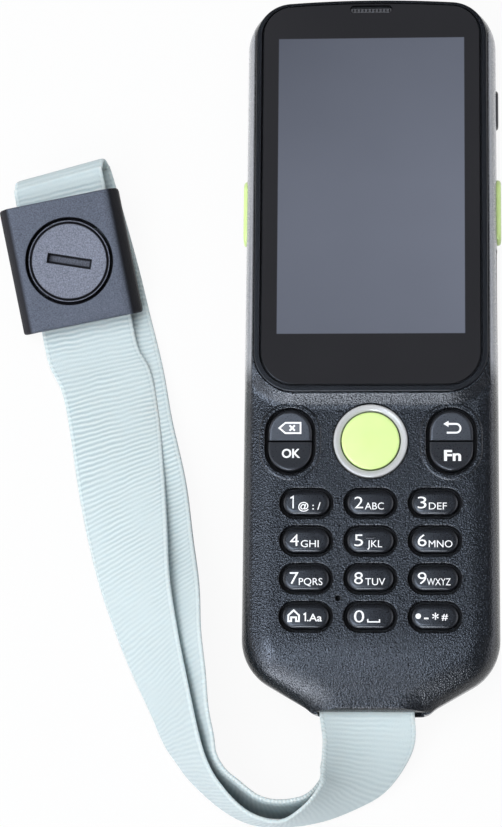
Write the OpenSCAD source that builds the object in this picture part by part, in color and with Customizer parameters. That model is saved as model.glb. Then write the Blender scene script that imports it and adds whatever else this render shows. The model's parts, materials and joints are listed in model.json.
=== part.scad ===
// Portable barcode data terminal with a number keypad, side scan triggers,
// a lift-off battery cover and a wrist strap with a coin-slot strap lock.
// Millimetres. +X to the right of the screen, +Y towards the scanner end,
// +Z out of the screen. Z = 0 is the flat back that the terminal lies on,
// and the origin is on that back, half way along the terminal.

/* [Body] */
// Width of the body at the grip
grip_w = 68; // [66:0.5:72]
// Width of the body at the scanner end
head_w = 67.2; // [65.5:0.1:70]
// Height of the flat keypad face above the back
face_z = 22; // [22:0.1:24]
// Height of the parting line between the two housings
split_z = 15.5; // [15.3:0.1:15.8]
// Distance from the origin to the scanner end of the housings
top_y = 97; // [96.5:0.1:99]
// Distance from the origin to the strap end of the rear housing
end_y = 96.5; // [96:0.1:98]
// Radius of the crowned scanner end
crown_r = 330; // [200:5:600]
// Radius of the two corners at the scanner end
corner_r = 13; // [11:0.1:14.5]
// Radius of the two corners at the strap end
foot_r = 14; // [13:0.1:15]
// Distance from the origin to the centres of the strap end corners
foot_y = 77; // [76:0.1:78]
// Wall of the two housings
wall = 2; // [1.8:0.1:2.2]
// How far the keypad face falls away towards the strap end
face_drop = 3; // [2.5:0.1:3.3]
// Distance from the origin at which the keypad face starts to fall away
drop_y = 77; // [76.5:0.1:79]

/* [Screen] */
// Width of the raised rim round the cover glass
rim_w = 62.2; // [61:0.1:62.6]
// Width of the rim's own top edge
rim_t = 1.2; // [1:0.1:1.4]
// Height of the rim above the keypad face
rim_h = 2; // [1.8:0.1:2.4]
// Distance from the origin to the rim's edge at the scanner end
rim_top_y = 95.5; // [95:0.1:95.8]
// Distance from the origin to the rim's edge at the keypad
rim_low_y = 11.9; // [11.5:0.1:12.1]
// Outer radius of the rim's corners at the scanner end
rim_r = 9; // [8:0.1:10]
// Outer radius of the rim's corners at the keypad
rim_low_r = 10.5; // [9:0.1:11]
// Running gap between the glass and the rim
glass_gap = 0.5; // [0.3:0.05:0.6]
// Thickness of the cover glass
glass_t = 1.2; // [0.8:0.1:1.4]
// Width of the display's lit area
lit_w = 50; // [48:0.5:51]
// Length of the display's lit area
lit_l = 81.5; // [78:0.5:83]
// Distance from the origin to the lit area's edge nearest the keypad
lit_low_y = 3.8; // [3.5:0.1:4.5]
// Length of the slope between the rim and the keypad face
slope_l = 3.4; // [3:0.1:3.6]
// Width of the earpiece notch in the glass
notch_w = 11.4; // [10:0.1:13]

/* [Keypad] */
// Spacing of the number keys across the keypad
key_dx = 16.9; // [16.5:0.1:17.2]
// Spacing of the number keys along the keypad
key_dy = 10; // [9.7:0.1:10.2]
// Distance from the origin to the first row of number keys
key_row_y = 41.4; // [41.2:0.1:41.6]
// Width of a number key
key_w = 12.2; // [11.8:0.1:12.6]
// Length of a number key along the keypad
key_l = 6.2; // [5.8:0.1:6.4]
// Width of the groove round each key
key_gap = 0.95; // [0.8:0.05:1]
// Height of the number keys above the keypad face
key_proud = 0.7; // [0.6:0.1:1]
// Travel of every key on the keypad
key_travel = 0.5; // [0.3:0.05:0.6]
// Distance from the origin to the centre of the scan key
scan_y = 24.9; // [24.7:0.1:25.2]
// Diameter of the scan key
scan_d = 15.3; // [14.5:0.1:15.5]
// Outer diameter of the ring round the scan key
ring_d = 19.6; // [19.2:0.1:19.8]
// Distance of the middle of a split key from the body's side
split_in = 12.7; // [12.4:0.1:12.8]
// Width of a split key
split_w = 11.5; // [11.2:0.1:11.8]
// Length of a split key, both halves
split_l = 16; // [15.5:0.1:16.4]
// Gap between the two halves of a split key
split_gap = 0.4; // [0.3:0.05:0.6]

/* [Sides] */
// Distance from the origin to the middle of the side triggers
trigger_y = 38.5; // [38:0.1:39]
// Length of a side trigger
trigger_l = 18; // [17:0.1:19]
// Height of a side trigger
trigger_h = 6.5; // [6:0.1:7]
// How far a side trigger stands out of the body
trigger_proud = 1.1; // [0.9:0.1:1.4]
// Travel of the side triggers
trigger_travel = 0.6; // [0.4:0.05:0.8]
// Distance from the origin to the middle of the power button
power_y = 67; // [66.5:0.1:67.5]
// Length of the power button
power_l = 11; // [10:0.1:12]
// Height of the power button
power_h = 4.4; // [4:0.1:5]
// How far the power button stands out of the body
power_proud = 0.6; // [0.4:0.1:0.8]
// Travel of the power button
power_travel = 0.4; // [0.3:0.05:0.5]
// Distance from the origin to the middle of the port cover
port_y = 14.7; // [14.5:0.1:15]
// Length of the port cover
port_l = 25.4; // [24:0.1:26]
// Height of the port cover
port_h = 8; // [7.6:0.1:8.4]

/* [Back] */
// Width of the battery cover
cover_w = 52; // [50:0.5:53]
// Length of the battery cover
cover_l = 68; // [66:0.5:69]
// Distance from the origin to the battery cover's upper edge
cover_top_y = 9; // [8.5:0.1:9.5]
// Thickness of the battery cover
cover_t = 1.6; // [1.4:0.1:1.8]
// Thickness of the battery pack
battery_t = 8; // [7.4:0.1:8.1]
// Diameter of the rear camera window
camera_d = 10; // [9:0.1:11]
// Sideways place of the rear camera
camera_x = -12; // [-13:0.1:-11]
// Distance from the origin to the rear camera
camera_y = 62; // [61:0.1:63]

/* [Scanner] */
// Sideways place of the scan window
scanner_x = 5; // [4:0.1:6]
// Width of the scan window
window_w = 22; // [20:0.1:24]
// Height of the scan window
window_h = 9; // [8:0.1:9.5]
// Height of the scan window's middle above the back
window_z = 8.5; // [8.2:0.1:8.8]
// How far the window frame stands out of the scanner end
window_proud = 0.9; // [0.5:0.1:1.2]

/* [Strap] */
// Width of the webbing
web_w = 25; // [25:0.1:25.2]
// Thickness of the webbing
web_t = 1.2; // [1:0.1:1.3]
// Radius of the strap bar
bar_r = 1.6; // [1.4:0.05:1.7]
// Distance from the origin to the strap bar
bar_y = 91; // [90.8:0.1:91.2]
// Height of the strap bar above the back
bar_z = 11.5; // [11.3:0.1:11.7]
// Clearance on both sides of the webbing in the strap slot
slot_clear = 0.5; // [0.4:0.1:1]
// Height of the strap slot
slot_h = 9.4; // [9.2:0.1:9.6]

/* [Strap lock] */
// Width of the strap lock at its base
lock_w = 33; // [32:0.1:35]
// Length of the strap lock
lock_l = 33.6; // [32.5:0.1:36]
// Height of the strap lock
lock_h = 9.4; // [9.2:0.1:10]
// Slope of the strap lock's sides, top against base
lock_draft = 3; // [1:0.1:3.2]
// Diameter of the lock disc
disc_d = 22; // [20:0.1:22.4]
// Gap round the lock disc
disc_gap = 0.75; // [0.4:0.05:0.9]
// Length of the coin slot
coin_l = 11.7; // [10:0.1:13]
// Width of the coin slot
coin_w = 2.4; // [2:0.1:2.8]
// Depth of the coin slot
coin_deep = 1.2; // [0.8:0.1:1.4]
// Travel of the clamp plate as the disc turns
clamp_travel = 0.4; // [0.2:0.05:0.5]

/* [Fits] */
// Clearance between pieces that slot into each other
fit = 0.15; // [0.1:0.01:0.2]
// Radial clearance of a pin in its hole
pin_fit = 0.03; // [0.02:0.01:0.06]
// Clearance between pieces that move past each other
slide_fit = 0.3; // [0.2:0.05:0.35]

/* [Hidden] */

black = [0.13, 0.14, 0.16];
soft_black = [0.08, 0.08, 0.09];
key_grey = [0.22, 0.23, 0.27];
lime = [0.80, 0.95, 0.45];
webbing_grey = [0.80, 0.86, 0.85];
board_green = [0.05, 0.30, 0.15];
metal = [0.70, 0.71, 0.73];
smoke = [0.16, 0.17, 0.19];

$fn = 48;
eps = 0.01;

// ---- outline of the body, all from the top centre clockwise ----

slant = 60;
slant_l = 8;
neck_r = 10;
front_end_y = end_y - 0.6;

function arc_points(c, r, a0, a1, n) =
    [for (i = [0:n]) let (a = a0 + (a1 - a0) * i / n)
        [c[0] + r * cos(a), c[1] + r * sin(a)]];

function crown_c() = [0, top_y - crown_r];
function corner_c() =
    let (x = head_w / 2 - corner_r)
    [x, top_y - crown_r + sqrt(pow(crown_r - corner_r, 2) - x * x)];
function foot_c() = [grip_w / 2 - foot_r, -foot_y];
function slant_start() =
    foot_c() + foot_r * [cos(-slant), sin(-slant)];
function neck_c() =
    slant_start() - slant_l * [sin(slant), cos(slant)]
        + neck_r * [cos(-slant), sin(-slant)];

// right half of the outline, moved inwards by d and cut off at y = -low
function half_outline(d, low) =
    let (
        c0 = crown_c(),
        c1 = corner_c(),
        c2 = foot_c(),
        c3 = neck_c(),
        tangent = atan2(c1[1] - c0[1], c1[0] - c0[0]),
        cut = -asin((-low - c3[1] + d) / (neck_r + d))
    )
    concat(
        arc_points(c0, crown_r - d, 90, tangent, 5),
        arc_points(c1, corner_r - d, tangent - 8, 0, 8),
        arc_points(c2, foot_r - d, 0, -slant, 8),
        [for (p = arc_points(c3, neck_r + d, 180 - slant, 180 + cut, 4)) p]
    );

function mirrored(half) =
    [for (i = [len(half) - 1:-1:1]) [-half[i][0], half[i][1]]];

// half width of the body at a given y on its long sides
function side_at(y) =
    let (head_y = corner_c()[1])
    head_w / 2 + (grip_w - head_w) / 2 * (head_y - y) / (head_y + foot_y);

// how much lower the keypad face lies at a given y
function drop_at(y) =
    y > -drop_y ? 0 : face_drop * pow((-drop_y - y) / (end_y - drop_y), 2);

// a stack of outlines: levels holds [z, inset], and rings above fall_z
// follow the fall of the keypad face
module lofted(levels, low, fall_z = 1000) {
    half_n = len(half_outline(0, low));
    ring_n = 2 * half_n - 1;
    rings = [for (level = levels)
        let (
            half = half_outline(level[1], low),
            flat_ring = concat(half, mirrored(half))
        )
        [for (p = flat_ring)
            [p[0], p[1], level[0] <= split_z ? level[0]
                : level[0] - drop_at(p[1]) * (level[0] - split_z) / (fall_z - split_z)]]];
    points = [for (ring = rings) for (p = ring) p];
    last = len(levels) - 1;
    sides = [for (k = [0:last - 1]) for (i = [0:ring_n - 1])
        let (j = (i + 1) % ring_n)
        each [[k * ring_n + i, k * ring_n + j, (k + 1) * ring_n + j],
            [k * ring_n + i, (k + 1) * ring_n + j, (k + 1) * ring_n + i]]];
    bottom_cap = concat(
        [[0, ring_n - 1, 1]],
        [for (i = [1:half_n - 2]) [i, ring_n - i, ring_n - i - 1, i + 1]]);
    top_cap = [for (face = bottom_cap)
        [for (i = [len(face) - 1:-1:0]) face[i] + last * ring_n]];
    polyhedron(points, concat(sides, bottom_cap, top_cap), convexity = 8);
}

// ---- small shapes ----

module pill_flat(w, l) {
    r = min(w, l) / 2;
    run = max(w, l) / 2 - r;
    turn = w > l ? 0 : 90;
    rotate(turn) {
        square([2 * run, 2 * r], center = true);
        for (s = [-1, 1])
            translate([s * run, 0])
                circle(r);
    }
}

module rounded_flat(w, l, r) {
    square([w - 2 * r, l], center = true);
    square([w, l - 2 * r], center = true);
    for (sx = [-1, 1])
        for (sy = [-1, 1])
            translate([sx * (w / 2 - r), sy * (l / 2 - r)])
                circle(r);
}

module block(low, high) {
    translate(low)
        cube([high[0] - low[0], high[1] - low[1], high[2] - low[2]]);
}

module upright(x, y, z0, z1) {
    translate([x, y, z0])
        linear_extrude(z1 - z0)
            children();
}

// a flat shape drawn as seen from the right, standing from x0 to x1
module sideways(y, z, x0, x1) {
    translate([x0, y, z])
        rotate([90, 0, 90])
            linear_extrude(x1 - x0)
                children();
}

// ---- heights inside the terminal ----

roof_z = face_z - 2.6;
mat_top_z = roof_z - 0.2;
mat_low_z = mat_top_z - 1.6;
key_foot_z = mat_top_z - 0.3;
sheet_low_z = mat_low_z - 0.2;
keypad_board_t = 1;
floor_z = 2;
board_low_z = 12.2;
board_t = 1;
bay_roof_z = cover_t + battery_t + 0.8;
bay_wall = 1.5;

belly = [[0, 5], [1.2, 2.6], [3, 1.2], [6, 0.5], [10, 0.15], [split_z, 0]];
shoulder = [[split_z, 0], [face_z - 4, 0.15], [face_z - 2, 0.5],
    [face_z - 0.8, 1.2], [face_z, 2.6]];

screw_spots = [[-26, 84], [26, 84], [-24.5, -80.5], [24.5, -80.5]];
screw_head_r = 2.1;
screw_head_z = 1.4;
screw_head_t = 1.4;
screw_r = 1;
screw_tip_z = roof_z - 3.1;
boss_r = 3;

flange_lip = 0.8;
split_x = grip_w / 2 - split_in;

// sideways place of the webbing where it leaves the slot: it is drawn to
// the left because the strap lies to the left
web_x = -1;
slot_w = web_w + 2 * (slot_clear + abs(web_x));
bay_low_y = -cover_top_y - cover_l;
neck_block_y = bar_y - 7;
slot_low_z = bar_z - slot_h / 2;
slot_high_z = bar_z + slot_h / 2;

// ---- housings ----

// a window for a side key, with room behind it for the key's flange
module side_window(y, l, h, grow) {
    wall_x = side_at(y) - wall;
    sideways(y, split_z, wall_x - 4, wall_x + wall + 2)
        pill_flat(l + 2 * grow, h + 2 * grow);
    sideways(y, split_z, wall_x - 4, wall_x)
        pill_flat(l + 2 * (flange_lip + grow), h + 2 * (flange_lip + grow));
}

module side_windows(grow) {
    for (side = [-1, 1])
        mirror([side < 0 ? 1 : 0, 0, 0])
            side_window(trigger_y, trigger_l, trigger_h, grow);
    side_window(power_y, power_l, power_h, grow);
}

port_side_x = side_at(port_y);
port_floor_x = port_side_x - 4.2;
hinge_r = 0.9;
hinge_z = split_z - port_h / 2 + hinge_r;
hinge_x = port_side_x - 1.2;

module port_recess() {
    block([port_floor_x, port_y - port_l / 2 - slide_fit, split_z - port_h / 2 - slide_fit],
        [port_side_x + 2, port_y + port_l / 2 + slide_fit, split_z + port_h / 2 + slide_fit]);
}

usb_w = 9;
usb_h = 3.3;

module usb_window(grow) {
    sideways(port_y, split_z, port_floor_x - 9, port_floor_x + 1)
        pill_flat(usb_w + 2 * grow, usb_h + 2 * grow);
}

module strap_slot() {
    block([-slot_w / 2, -end_y - 2, slot_low_z], [slot_w / 2, -bar_y + 4.5, slot_high_z]);
}

module key_sockets(grow) {
    for (row = [0:3])
        for (column = [-1:1])
            upright(column * key_dx, -key_row_y - row * key_dy, roof_z - 1, face_z + 2)
                pill_flat(key_w + 2 * grow, key_l + 2 * grow);
    for (side = [-1, 1])
        upright(side * split_x, -scan_y, roof_z - 1, face_z + 2)
            pill_flat(split_w + 2 * grow, split_l + 2 * grow);
    upright(0, -scan_y, roof_z - 1, face_z + 2)
        circle(ring_d / 2 + fit);
}

seat_z = face_z - 1;

// the rim's outline: crowned at the scanner end as the housings are
module rim_flat(grow) {
    w = rim_w + 2 * grow;
    low = -rim_low_y - grow;
    low_r = rim_low_r + grow;
    top_r = rim_r + grow;
    edge_r = crown_r - top_y + rim_top_y + grow;
    edge_y = top_y - crown_r;
    top_x = w / 2 - top_r;
    side_top = edge_y + sqrt(pow(edge_r - top_r, 2) - top_x * top_x);
    edge_x = top_x * edge_r / (edge_r - top_r);
    intersection() {
        translate([0, edge_y])
            circle(edge_r, $fn = 720);
        translate([-edge_x, low + low_r])
            square([2 * edge_x, edge_y + edge_r - low]);
    }
    translate([-w / 2, low + low_r])
        square([w, side_top - low - low_r]);
    translate([-w / 2 + low_r, low])
        square([w - 2 * low_r, low_r + 1]);
    for (s = [-1, 1]) {
        translate([s * top_x, side_top])
            circle(top_r);
        translate([s * (w / 2 - low_r), low + low_r])
            circle(low_r);
    }
}

// slope that leads from the keypad face up to the rim and round its corners
module rim_slope() {
    low_x = rim_w / 2 - rim_low_r;
    crest_z = face_z + rim_h - 0.2;
    crest_r = rim_low_r + fit + 0.3;
    foot_at = rim_low_r + slope_l;
    intersection() {
        union() {
            translate([-low_x, -rim_low_y + rim_low_r, 0])
                rotate([90, 0, 90])
                    linear_extrude(2 * low_x)
                        polygon([[0, roof_z], [0, crest_z], [-crest_r, crest_z],
                            [-foot_at, face_z], [-foot_at, roof_z]]);
            for (s = [-1, 1])
                translate([s * low_x, -rim_low_y + rim_low_r, 0])
                    rotate_extrude($fn = 96)
                        polygon([[0, roof_z], [foot_at, roof_z], [foot_at, face_z],
                            [crest_r, crest_z], [0, crest_z]]);
        }
        block([-rim_w / 2, -rim_low_y - foot_at, roof_z], [rim_w / 2, -rim_low_y + rim_low_r, crest_z]);
    }
}

lcd_w = lit_w + 4;
lcd_l = lit_l + 8;
lcd_mid_y = lit_low_y + lit_l / 2 - 1.5;
open_w = lcd_w + 1;
open_l = lcd_l + 1;

module front_housing() {
    color(black)
        difference() {
            union() {
                difference() {
                    lofted(shoulder, front_end_y, face_z);
                    intersection() {
                        lofted([[split_z - eps, wall], [face_z - 4, wall + 0.2], [roof_z, wall + 1]],
                            front_end_y, face_z);
                        block([-grip_w, -neck_block_y, 0], [grip_w, top_y, face_z]);
                    }
                }
                rim_slope();
                for (spot = screw_spots)
                    translate([spot[0], spot[1], board_low_z])
                        cylinder(r = boss_r - 0.3, h = roof_z - board_low_z + 0.2);
            }
            upright(0, 0, seat_z, face_z + 5)
                rim_flat(fit);
            upright(0, lcd_mid_y, roof_z - 3, face_z)
                rounded_flat(open_w, open_l, 2);
            key_sockets(key_gap);
            side_windows(slide_fit);
            port_recess();
            strap_slot();
            // earpiece duct and microphone hole
            upright(0, rim_top_y - 3, roof_z - 1, face_z)
                pill_flat(notch_w - 2, 2);
            translate([-8.5, -66.5, roof_z - 1])
                cylinder(r = 0.45, h = 5);
            for (spot = screw_spots)
                translate([spot[0], spot[1], board_low_z - 1])
                    cylinder(r = screw_r + pin_fit, h = roof_z - board_low_z);
            // seat of the seal
            translate([0, 0, split_z - eps])
                seal_flat_solid(0.7 + eps, 0.05);
        }
}

module seal_flat_solid(h, grow) {
    difference() {
        lofted_plate(0.7 - grow, h);
        translate([0, 0, -1])
            lofted_plate(1.4 + grow, h + 2);
        sealing_gaps();
    }
}

module lofted_plate(inset, h) {
    half = half_outline(inset, front_end_y);
    linear_extrude(h)
        polygon(concat(half, mirrored(half)));
}

// places where the seal is left out: side keys, port cover and strap slot
module sealing_gaps() {
    for (side = [-1, 1])
        translate([side * side_at(trigger_y), trigger_y, 0])
            cube([8, trigger_l + 4, 8], center = true);
    translate([side_at(power_y), power_y, 0])
        cube([8, power_l + 4, 8], center = true);
    translate([port_side_x, port_y, 0])
        cube([12, port_l + 4, 8], center = true);
    translate([0, -end_y, 0])
        cube([slot_w + 12, 14, 8], center = true);
}

module housing_seal() {
    color(soft_black)
        translate([0, 0, split_z])
            seal_flat_solid(0.6, 0);
}

module battery_bay_block() {
    block([-cover_w / 2 - 1, bay_low_y - 1, 0],
        [cover_w / 2 + 1, -cover_top_y + 1, bay_roof_z + bay_wall]);
}

bay_inset = 2.5;

module rear_housing() {
    color(black)
        difference() {
            union() {
                difference() {
                    lofted(belly, end_y);
                    difference() {
                        intersection() {
                            lofted([[floor_z, wall + 3], [3.5, wall + 1.2], [6, wall + 0.5],
                                [10, wall + 0.15], [split_z + eps, wall]], end_y);
                            block([-grip_w, -neck_block_y, 0], [grip_w, top_y, split_z + 1]);
                        }
                        battery_bay_block();
                    }
                }
                for (spot = screw_spots)
                    translate([spot[0], spot[1], 1])
                        cylinder(r = boss_r, h = board_low_z - 1 - slide_fit);
            }
            // battery bay and the cover's recess
            upright(0, bay_low_y + cover_l / 2, -1, cover_t + fit)
                rounded_flat(cover_w + 2 * fit, cover_l + 2 * fit, 4);
            upright(0, bay_low_y + cover_l / 2, 0, bay_roof_z)
                rounded_flat(cover_w - 2 * bay_inset, cover_l - 2 * bay_inset, 2);
            // contact window between the bay and the board
            upright(0, -cover_top_y - bay_inset - 4, bay_roof_z - 1, bay_roof_z + bay_wall + 1)
                square([14, 3], center = true);
            side_windows(slide_fit);
            port_recess();
            usb_window(fit);
            strap_slot();
            translate([-slot_w / 2 - 3, -bar_y, bar_z])
                rotate([0, 90, 0])
                    cylinder(r = bar_r + pin_fit, h = slot_w + 6);
            for (spot = screw_spots) {
                translate([spot[0], spot[1], -1])
                    cylinder(r = screw_head_r + 0.2, h = 3.8);
                translate([spot[0], spot[1], 0])
                    cylinder(r = screw_r + 0.2, h = board_low_z);
            }
            // scan window frame, camera window, flash and loudspeaker slots
            translate([scanner_x, top_y - 6, window_z])
                rotate([-90, 0, 0])
                    linear_extrude(8)
                        rounded_flat(window_w + 4 + 2 * fit, window_h + 3 + 2 * fit, 2);
            translate([camera_x, camera_y, -1])
                cylinder(r = camera_d / 2 + fit, h = 5);
            translate([camera_x + 12, camera_y, -1])
                cylinder(r = 2 + fit, h = 5);
            for (i = [-3:3])
                upright(speaker_x + i * 2.2, speaker_y, -1, 4)
                    pill_flat(speaker_slot_w, speaker_slot_l);
        }
}

speaker_x = 13;
speaker_y = 42;
speaker_slot_w = 1.1;
speaker_slot_l = 9;

module housing_screws() {
    color(metal)
        for (spot = screw_spots)
            translate([spot[0], spot[1], 0]) {
                difference() {
                    translate([0, 0, screw_head_z])
                        cylinder(r = screw_head_r, h = screw_head_t);
                    translate([0, 0, screw_head_z - 0.1])
                        cylinder(r = screw_r, h = 0.9, $fn = 6);
                }
                translate([0, 0, screw_head_z + screw_head_t])
                    cylinder(r = screw_r, h = screw_tip_z - screw_head_z - screw_head_t);
            }
}

// ---- screen ----

glass_top_z = face_z + rim_h - 0.2;
glass_low_z = glass_top_z - glass_t;
gasket_t = 0.2;
flange_top_z = glass_low_z - gasket_t;

module screen_bezel() {
    color(soft_black)
        difference() {
            upright(0, 0, seat_z, face_z + rim_h)
                rim_flat(0);
            upright(0, 0, flange_top_z, face_z + rim_h + 1)
                rim_flat(-rim_t);
            upright(0, lcd_mid_y, seat_z - 1, face_z + rim_h)
                rounded_flat(open_w, open_l, 2);
            upright(0, rim_top_y - 3, seat_z - 1, face_z + rim_h)
                pill_flat(notch_w - 2, 2);
        }
}

module display_gasket() {
    color(soft_black)
        difference() {
            upright(0, 0, flange_top_z, glass_low_z)
                rim_flat(-rim_t - glass_gap - 0.2);
            upright(0, lcd_mid_y, flange_top_z - 1, glass_low_z + 1)
                rounded_flat(open_w + 0.6, open_l + 0.6, 2);
            upright(0, rim_top_y - 3, flange_top_z - 1, glass_low_z + 1)
                pill_flat(notch_w, 3);
        }
}

notch_l = 2.2;
notch_y = rim_top_y - rim_t - glass_gap - notch_l / 2;

module cover_glass() {
    color(smoke)
        difference() {
            upright(0, 0, glass_low_z, glass_top_z)
                rim_flat(-rim_t - glass_gap);
            upright(0, notch_y, glass_low_z - 1, glass_top_z + 1)
                pill_flat(notch_w, notch_l);
        }
}

module lcd_module() {
    color([0.42, 0.45, 0.48])
        upright(0, lcd_mid_y, glass_low_z - 2.6, glass_low_z - 0.1)
            rounded_flat(lcd_w, lcd_l, 1);
}

module earpiece_mesh() {
    color([0.3, 0.3, 0.32])
        difference() {
            upright(0, notch_y, flange_top_z, glass_top_z - 0.4)
                pill_flat(notch_w - 0.3, notch_l - 0.3);
            for (i = [-4:4])
                translate([i * 1.05, notch_y, flange_top_z - 1])
                    cylinder(r = 0.3, h = 5);
        }
}

module earpiece_speaker() {
    color(metal)
        upright(0, rim_top_y - 4, roof_z - 2.6, roof_z - 0.05)
            rounded_flat(12, 5, 1);
}

// ---- keypad ----

key_names = [["key_1", "key_2", "key_3"], ["key_4", "key_5", "key_6"],
    ["key_7", "key_8", "key_9"], ["key_home", "key_0", "key_symbols"]];

module key_pocket_flats(grow) {
    for (row = [0:3])
        for (column = [-1:1])
            translate([column * key_dx, -key_row_y - row * key_dy])
                pill_flat(key_w + 2 * grow, key_l + 2 * grow);
    for (side = [-1, 1])
        translate([side * split_x, -scan_y])
            pill_flat(split_w + 2 * grow, split_l + 2 * grow);
    translate([0, -scan_y])
        circle(scan_d / 2 + grow);
}

mat_w = 2 * split_x + split_w + 4;
mat_top_y = scan_y - split_l / 2 - 1.8;
mat_end_y = key_row_y + 3 * key_dy + key_l / 2 + 2;
mat_l = mat_end_y - mat_top_y;
mat_y = -(mat_end_y + mat_top_y) / 2;
pocket_deep = 0.3 + key_travel + 0.2;

module keypad_mat() {
    color(soft_black)
        difference() {
            upright(0, mat_y, mat_low_z, mat_top_z)
                rounded_flat(mat_w, mat_l, 3);
            translate([0, 0, mat_top_z - pocket_deep])
                linear_extrude(3)
                    key_pocket_flats(slide_fit);
        }
}

module dome_sheet() {
    color([0.75, 0.72, 0.6])
        difference() {
            upright(0, mat_y, sheet_low_z, mat_low_z)
                rounded_flat(mat_w - 1, mat_l - 1, 3);
            for (row = [0:3])
                translate([key_dx / 2, -key_row_y - row * key_dy, sheet_low_z - 1])
                    cylinder(r = 0.6, h = 3);
        }
}

module keypad_board() {
    color(board_green)
        difference() {
            upright(0, mat_y, sheet_low_z - keypad_board_t, sheet_low_z)
                rounded_flat(mat_w, mat_l, 3);
            for (s = [-1, 1])
                translate([s * (mat_w / 2 - 2), mat_y, sheet_low_z - 3])
                    cylinder(r = 1, h = 5);
        }
}

number_dome_r = 30;
split_dome_r = 40;
scan_dome_r = 60;

// one key cap: a prism with a domed top
module key_cap(top_z, dome_r) {
    intersection() {
        translate([0, 0, key_foot_z])
            linear_extrude(top_z - key_foot_z + 1)
                children();
        translate([0, 0, top_z - dome_r])
            sphere(dome_r, $fn = 96);
    }
}

module number_key(row, column) {
    color(key_grey)
        translate([(column - 1) * key_dx, -key_row_y - row * key_dy, 0])
            key_cap(face_z + key_proud, number_dome_r)
                pill_flat(key_w, key_l);
}

// half of a split key: part is 1 for the upper half and -1 for the lower
module split_key(side, part) {
    color(key_grey)
        translate([side * split_x, -scan_y, 0])
            key_cap(face_z + key_proud + 0.2, split_dome_r)
                intersection() {
                    pill_flat(split_w, split_l);
                    translate([0, part * (split_l / 4 + split_gap / 2 + 1)])
                        square([split_w + 2, split_l / 2 + 2], center = true);
                }
}

module scan_key() {
    color(lime)
        translate([0, -scan_y, 0])
            key_cap(face_z + 1.1, scan_dome_r)
                circle(scan_d / 2);
}

module scan_key_ring() {
    color([0.85, 0.86, 0.87])
        translate([0, -scan_y, 0])
            rotate_extrude($fn = 96)
                polygon([
                    [scan_d / 2 + slide_fit, mat_top_z],
                    [ring_d / 2, mat_top_z],
                    [ring_d / 2, face_z + 0.4],
                    [ring_d / 2 - 0.5, face_z + 0.9],
                    [scan_d / 2 + slide_fit + 0.3, face_z + 0.7],
                    [scan_d / 2 + slide_fit, face_z + 0.4]
                ]);
}

// ---- side keys and port ----

flange_t = 1.2;

// outer face of a side key's flange, inside the wall
function flange_x(y) = side_at(y) - wall - slide_fit;

module side_button(y, l, h, proud) {
    inner_x = flange_x(y) - flange_t;
    sideways(y, split_z, inner_x, side_at(y) + proud - 0.5)
        pill_flat(l, h);
    sideways(y, split_z, inner_x, side_at(y) + proud)
        pill_flat(l - 1, h - 1);
    sideways(y, split_z, inner_x, flange_x(y))
        pill_flat(l + 2 * flange_lip, h + 2 * flange_lip);
}

module right_trigger() {
    color(lime)
        side_button(trigger_y, trigger_l, trigger_h, trigger_proud);
}

module left_trigger() {
    color(lime)
        mirror([1, 0, 0])
            side_button(trigger_y, trigger_l, trigger_h, trigger_proud);
}

module power_button() {
    color(soft_black)
        side_button(power_y, power_l, power_h, power_proud);
}

switch_reach = flange_t + 0.1;

module side_switches() {
    color(metal)
        for (place = [[1, trigger_y, trigger_travel], [-1, trigger_y, trigger_travel],
                [1, power_y, power_travel]])
            mirror([place[0] < 0 ? 1 : 0, 0, 0]) {
                tip = flange_x(place[1]) - switch_reach - place[2];
                block([tip - 2.2, place[1] - 2.2, board_low_z + board_t],
                    [tip - 0.6, place[1] + 2.2, split_z + 1.6]);
                sideways(place[1], split_z, tip - 0.8, tip)
                    circle(1);
            }
}

flap_x = port_side_x - 0.9;

module port_cover() {
    y0 = port_y - port_l / 2;
    y1 = port_y + port_l / 2;
    color(soft_black)
        difference() {
            union() {
                block([flap_x - 1.1, y0, hinge_z], [flap_x + 0.7, y1, split_z + port_h / 2]);
                translate([hinge_x, y0, hinge_z])
                    rotate([-90, 0, 0])
                        cylinder(r = hinge_r, h = port_l);
                // plug that fills the socket's mouth
                sideways(port_y, split_z, port_floor_x + 0.9, flap_x - 1)
                    pill_flat(usb_w - 1, usb_h - 0.8);
            }
            translate([hinge_x, y0 - 1, hinge_z])
                rotate([-90, 0, 0])
                    cylinder(r = pin_r + pin_fit, h = port_l + 2);
        }
}

pin_r = 0.45;

module port_cover_pin() {
    color(metal)
        translate([hinge_x, port_y - port_l / 2 - slide_fit, hinge_z])
            rotate([-90, 0, 0])
                cylinder(r = pin_r, h = port_l + 2 * slide_fit);
}

module usb_socket() {
    color(metal)
        difference() {
            sideways(port_y, split_z, port_floor_x - 8, port_floor_x)
                pill_flat(usb_w, usb_h);
            sideways(port_y, split_z, port_floor_x - 6.5, port_floor_x + 1)
                pill_flat(usb_w - 0.6, usb_h - 0.6);
        }
}

// ---- electronics ----

board_w = 54;
board_low_y = -76;
board_top_gap = 18;
board_top_y = top_y - board_top_gap;

module main_board() {
    high = board_low_z + board_t;
    color(board_green)
        difference() {
            union() {
                block([-board_w / 2, board_low_y, board_low_z], [board_w / 2, board_top_y, high]);
                block([-10, 20, high - eps], [6, 36, high + 1.4]);
                block([10, 22, high - eps], [20, 32, high + 1]);
                block([-20, 44, high - eps], [-8, 54, high + 1.2]);
                block([-15, -20, high - eps], [15, -14, high + 1]);
            }
            for (sx = [-1, 1])
                for (y = [-60, 0, 60])
                    translate([sx * (board_w / 2 - 4), y, board_low_z - 1])
                        cylinder(r = 1.1, h = 4);
        }
}

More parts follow.
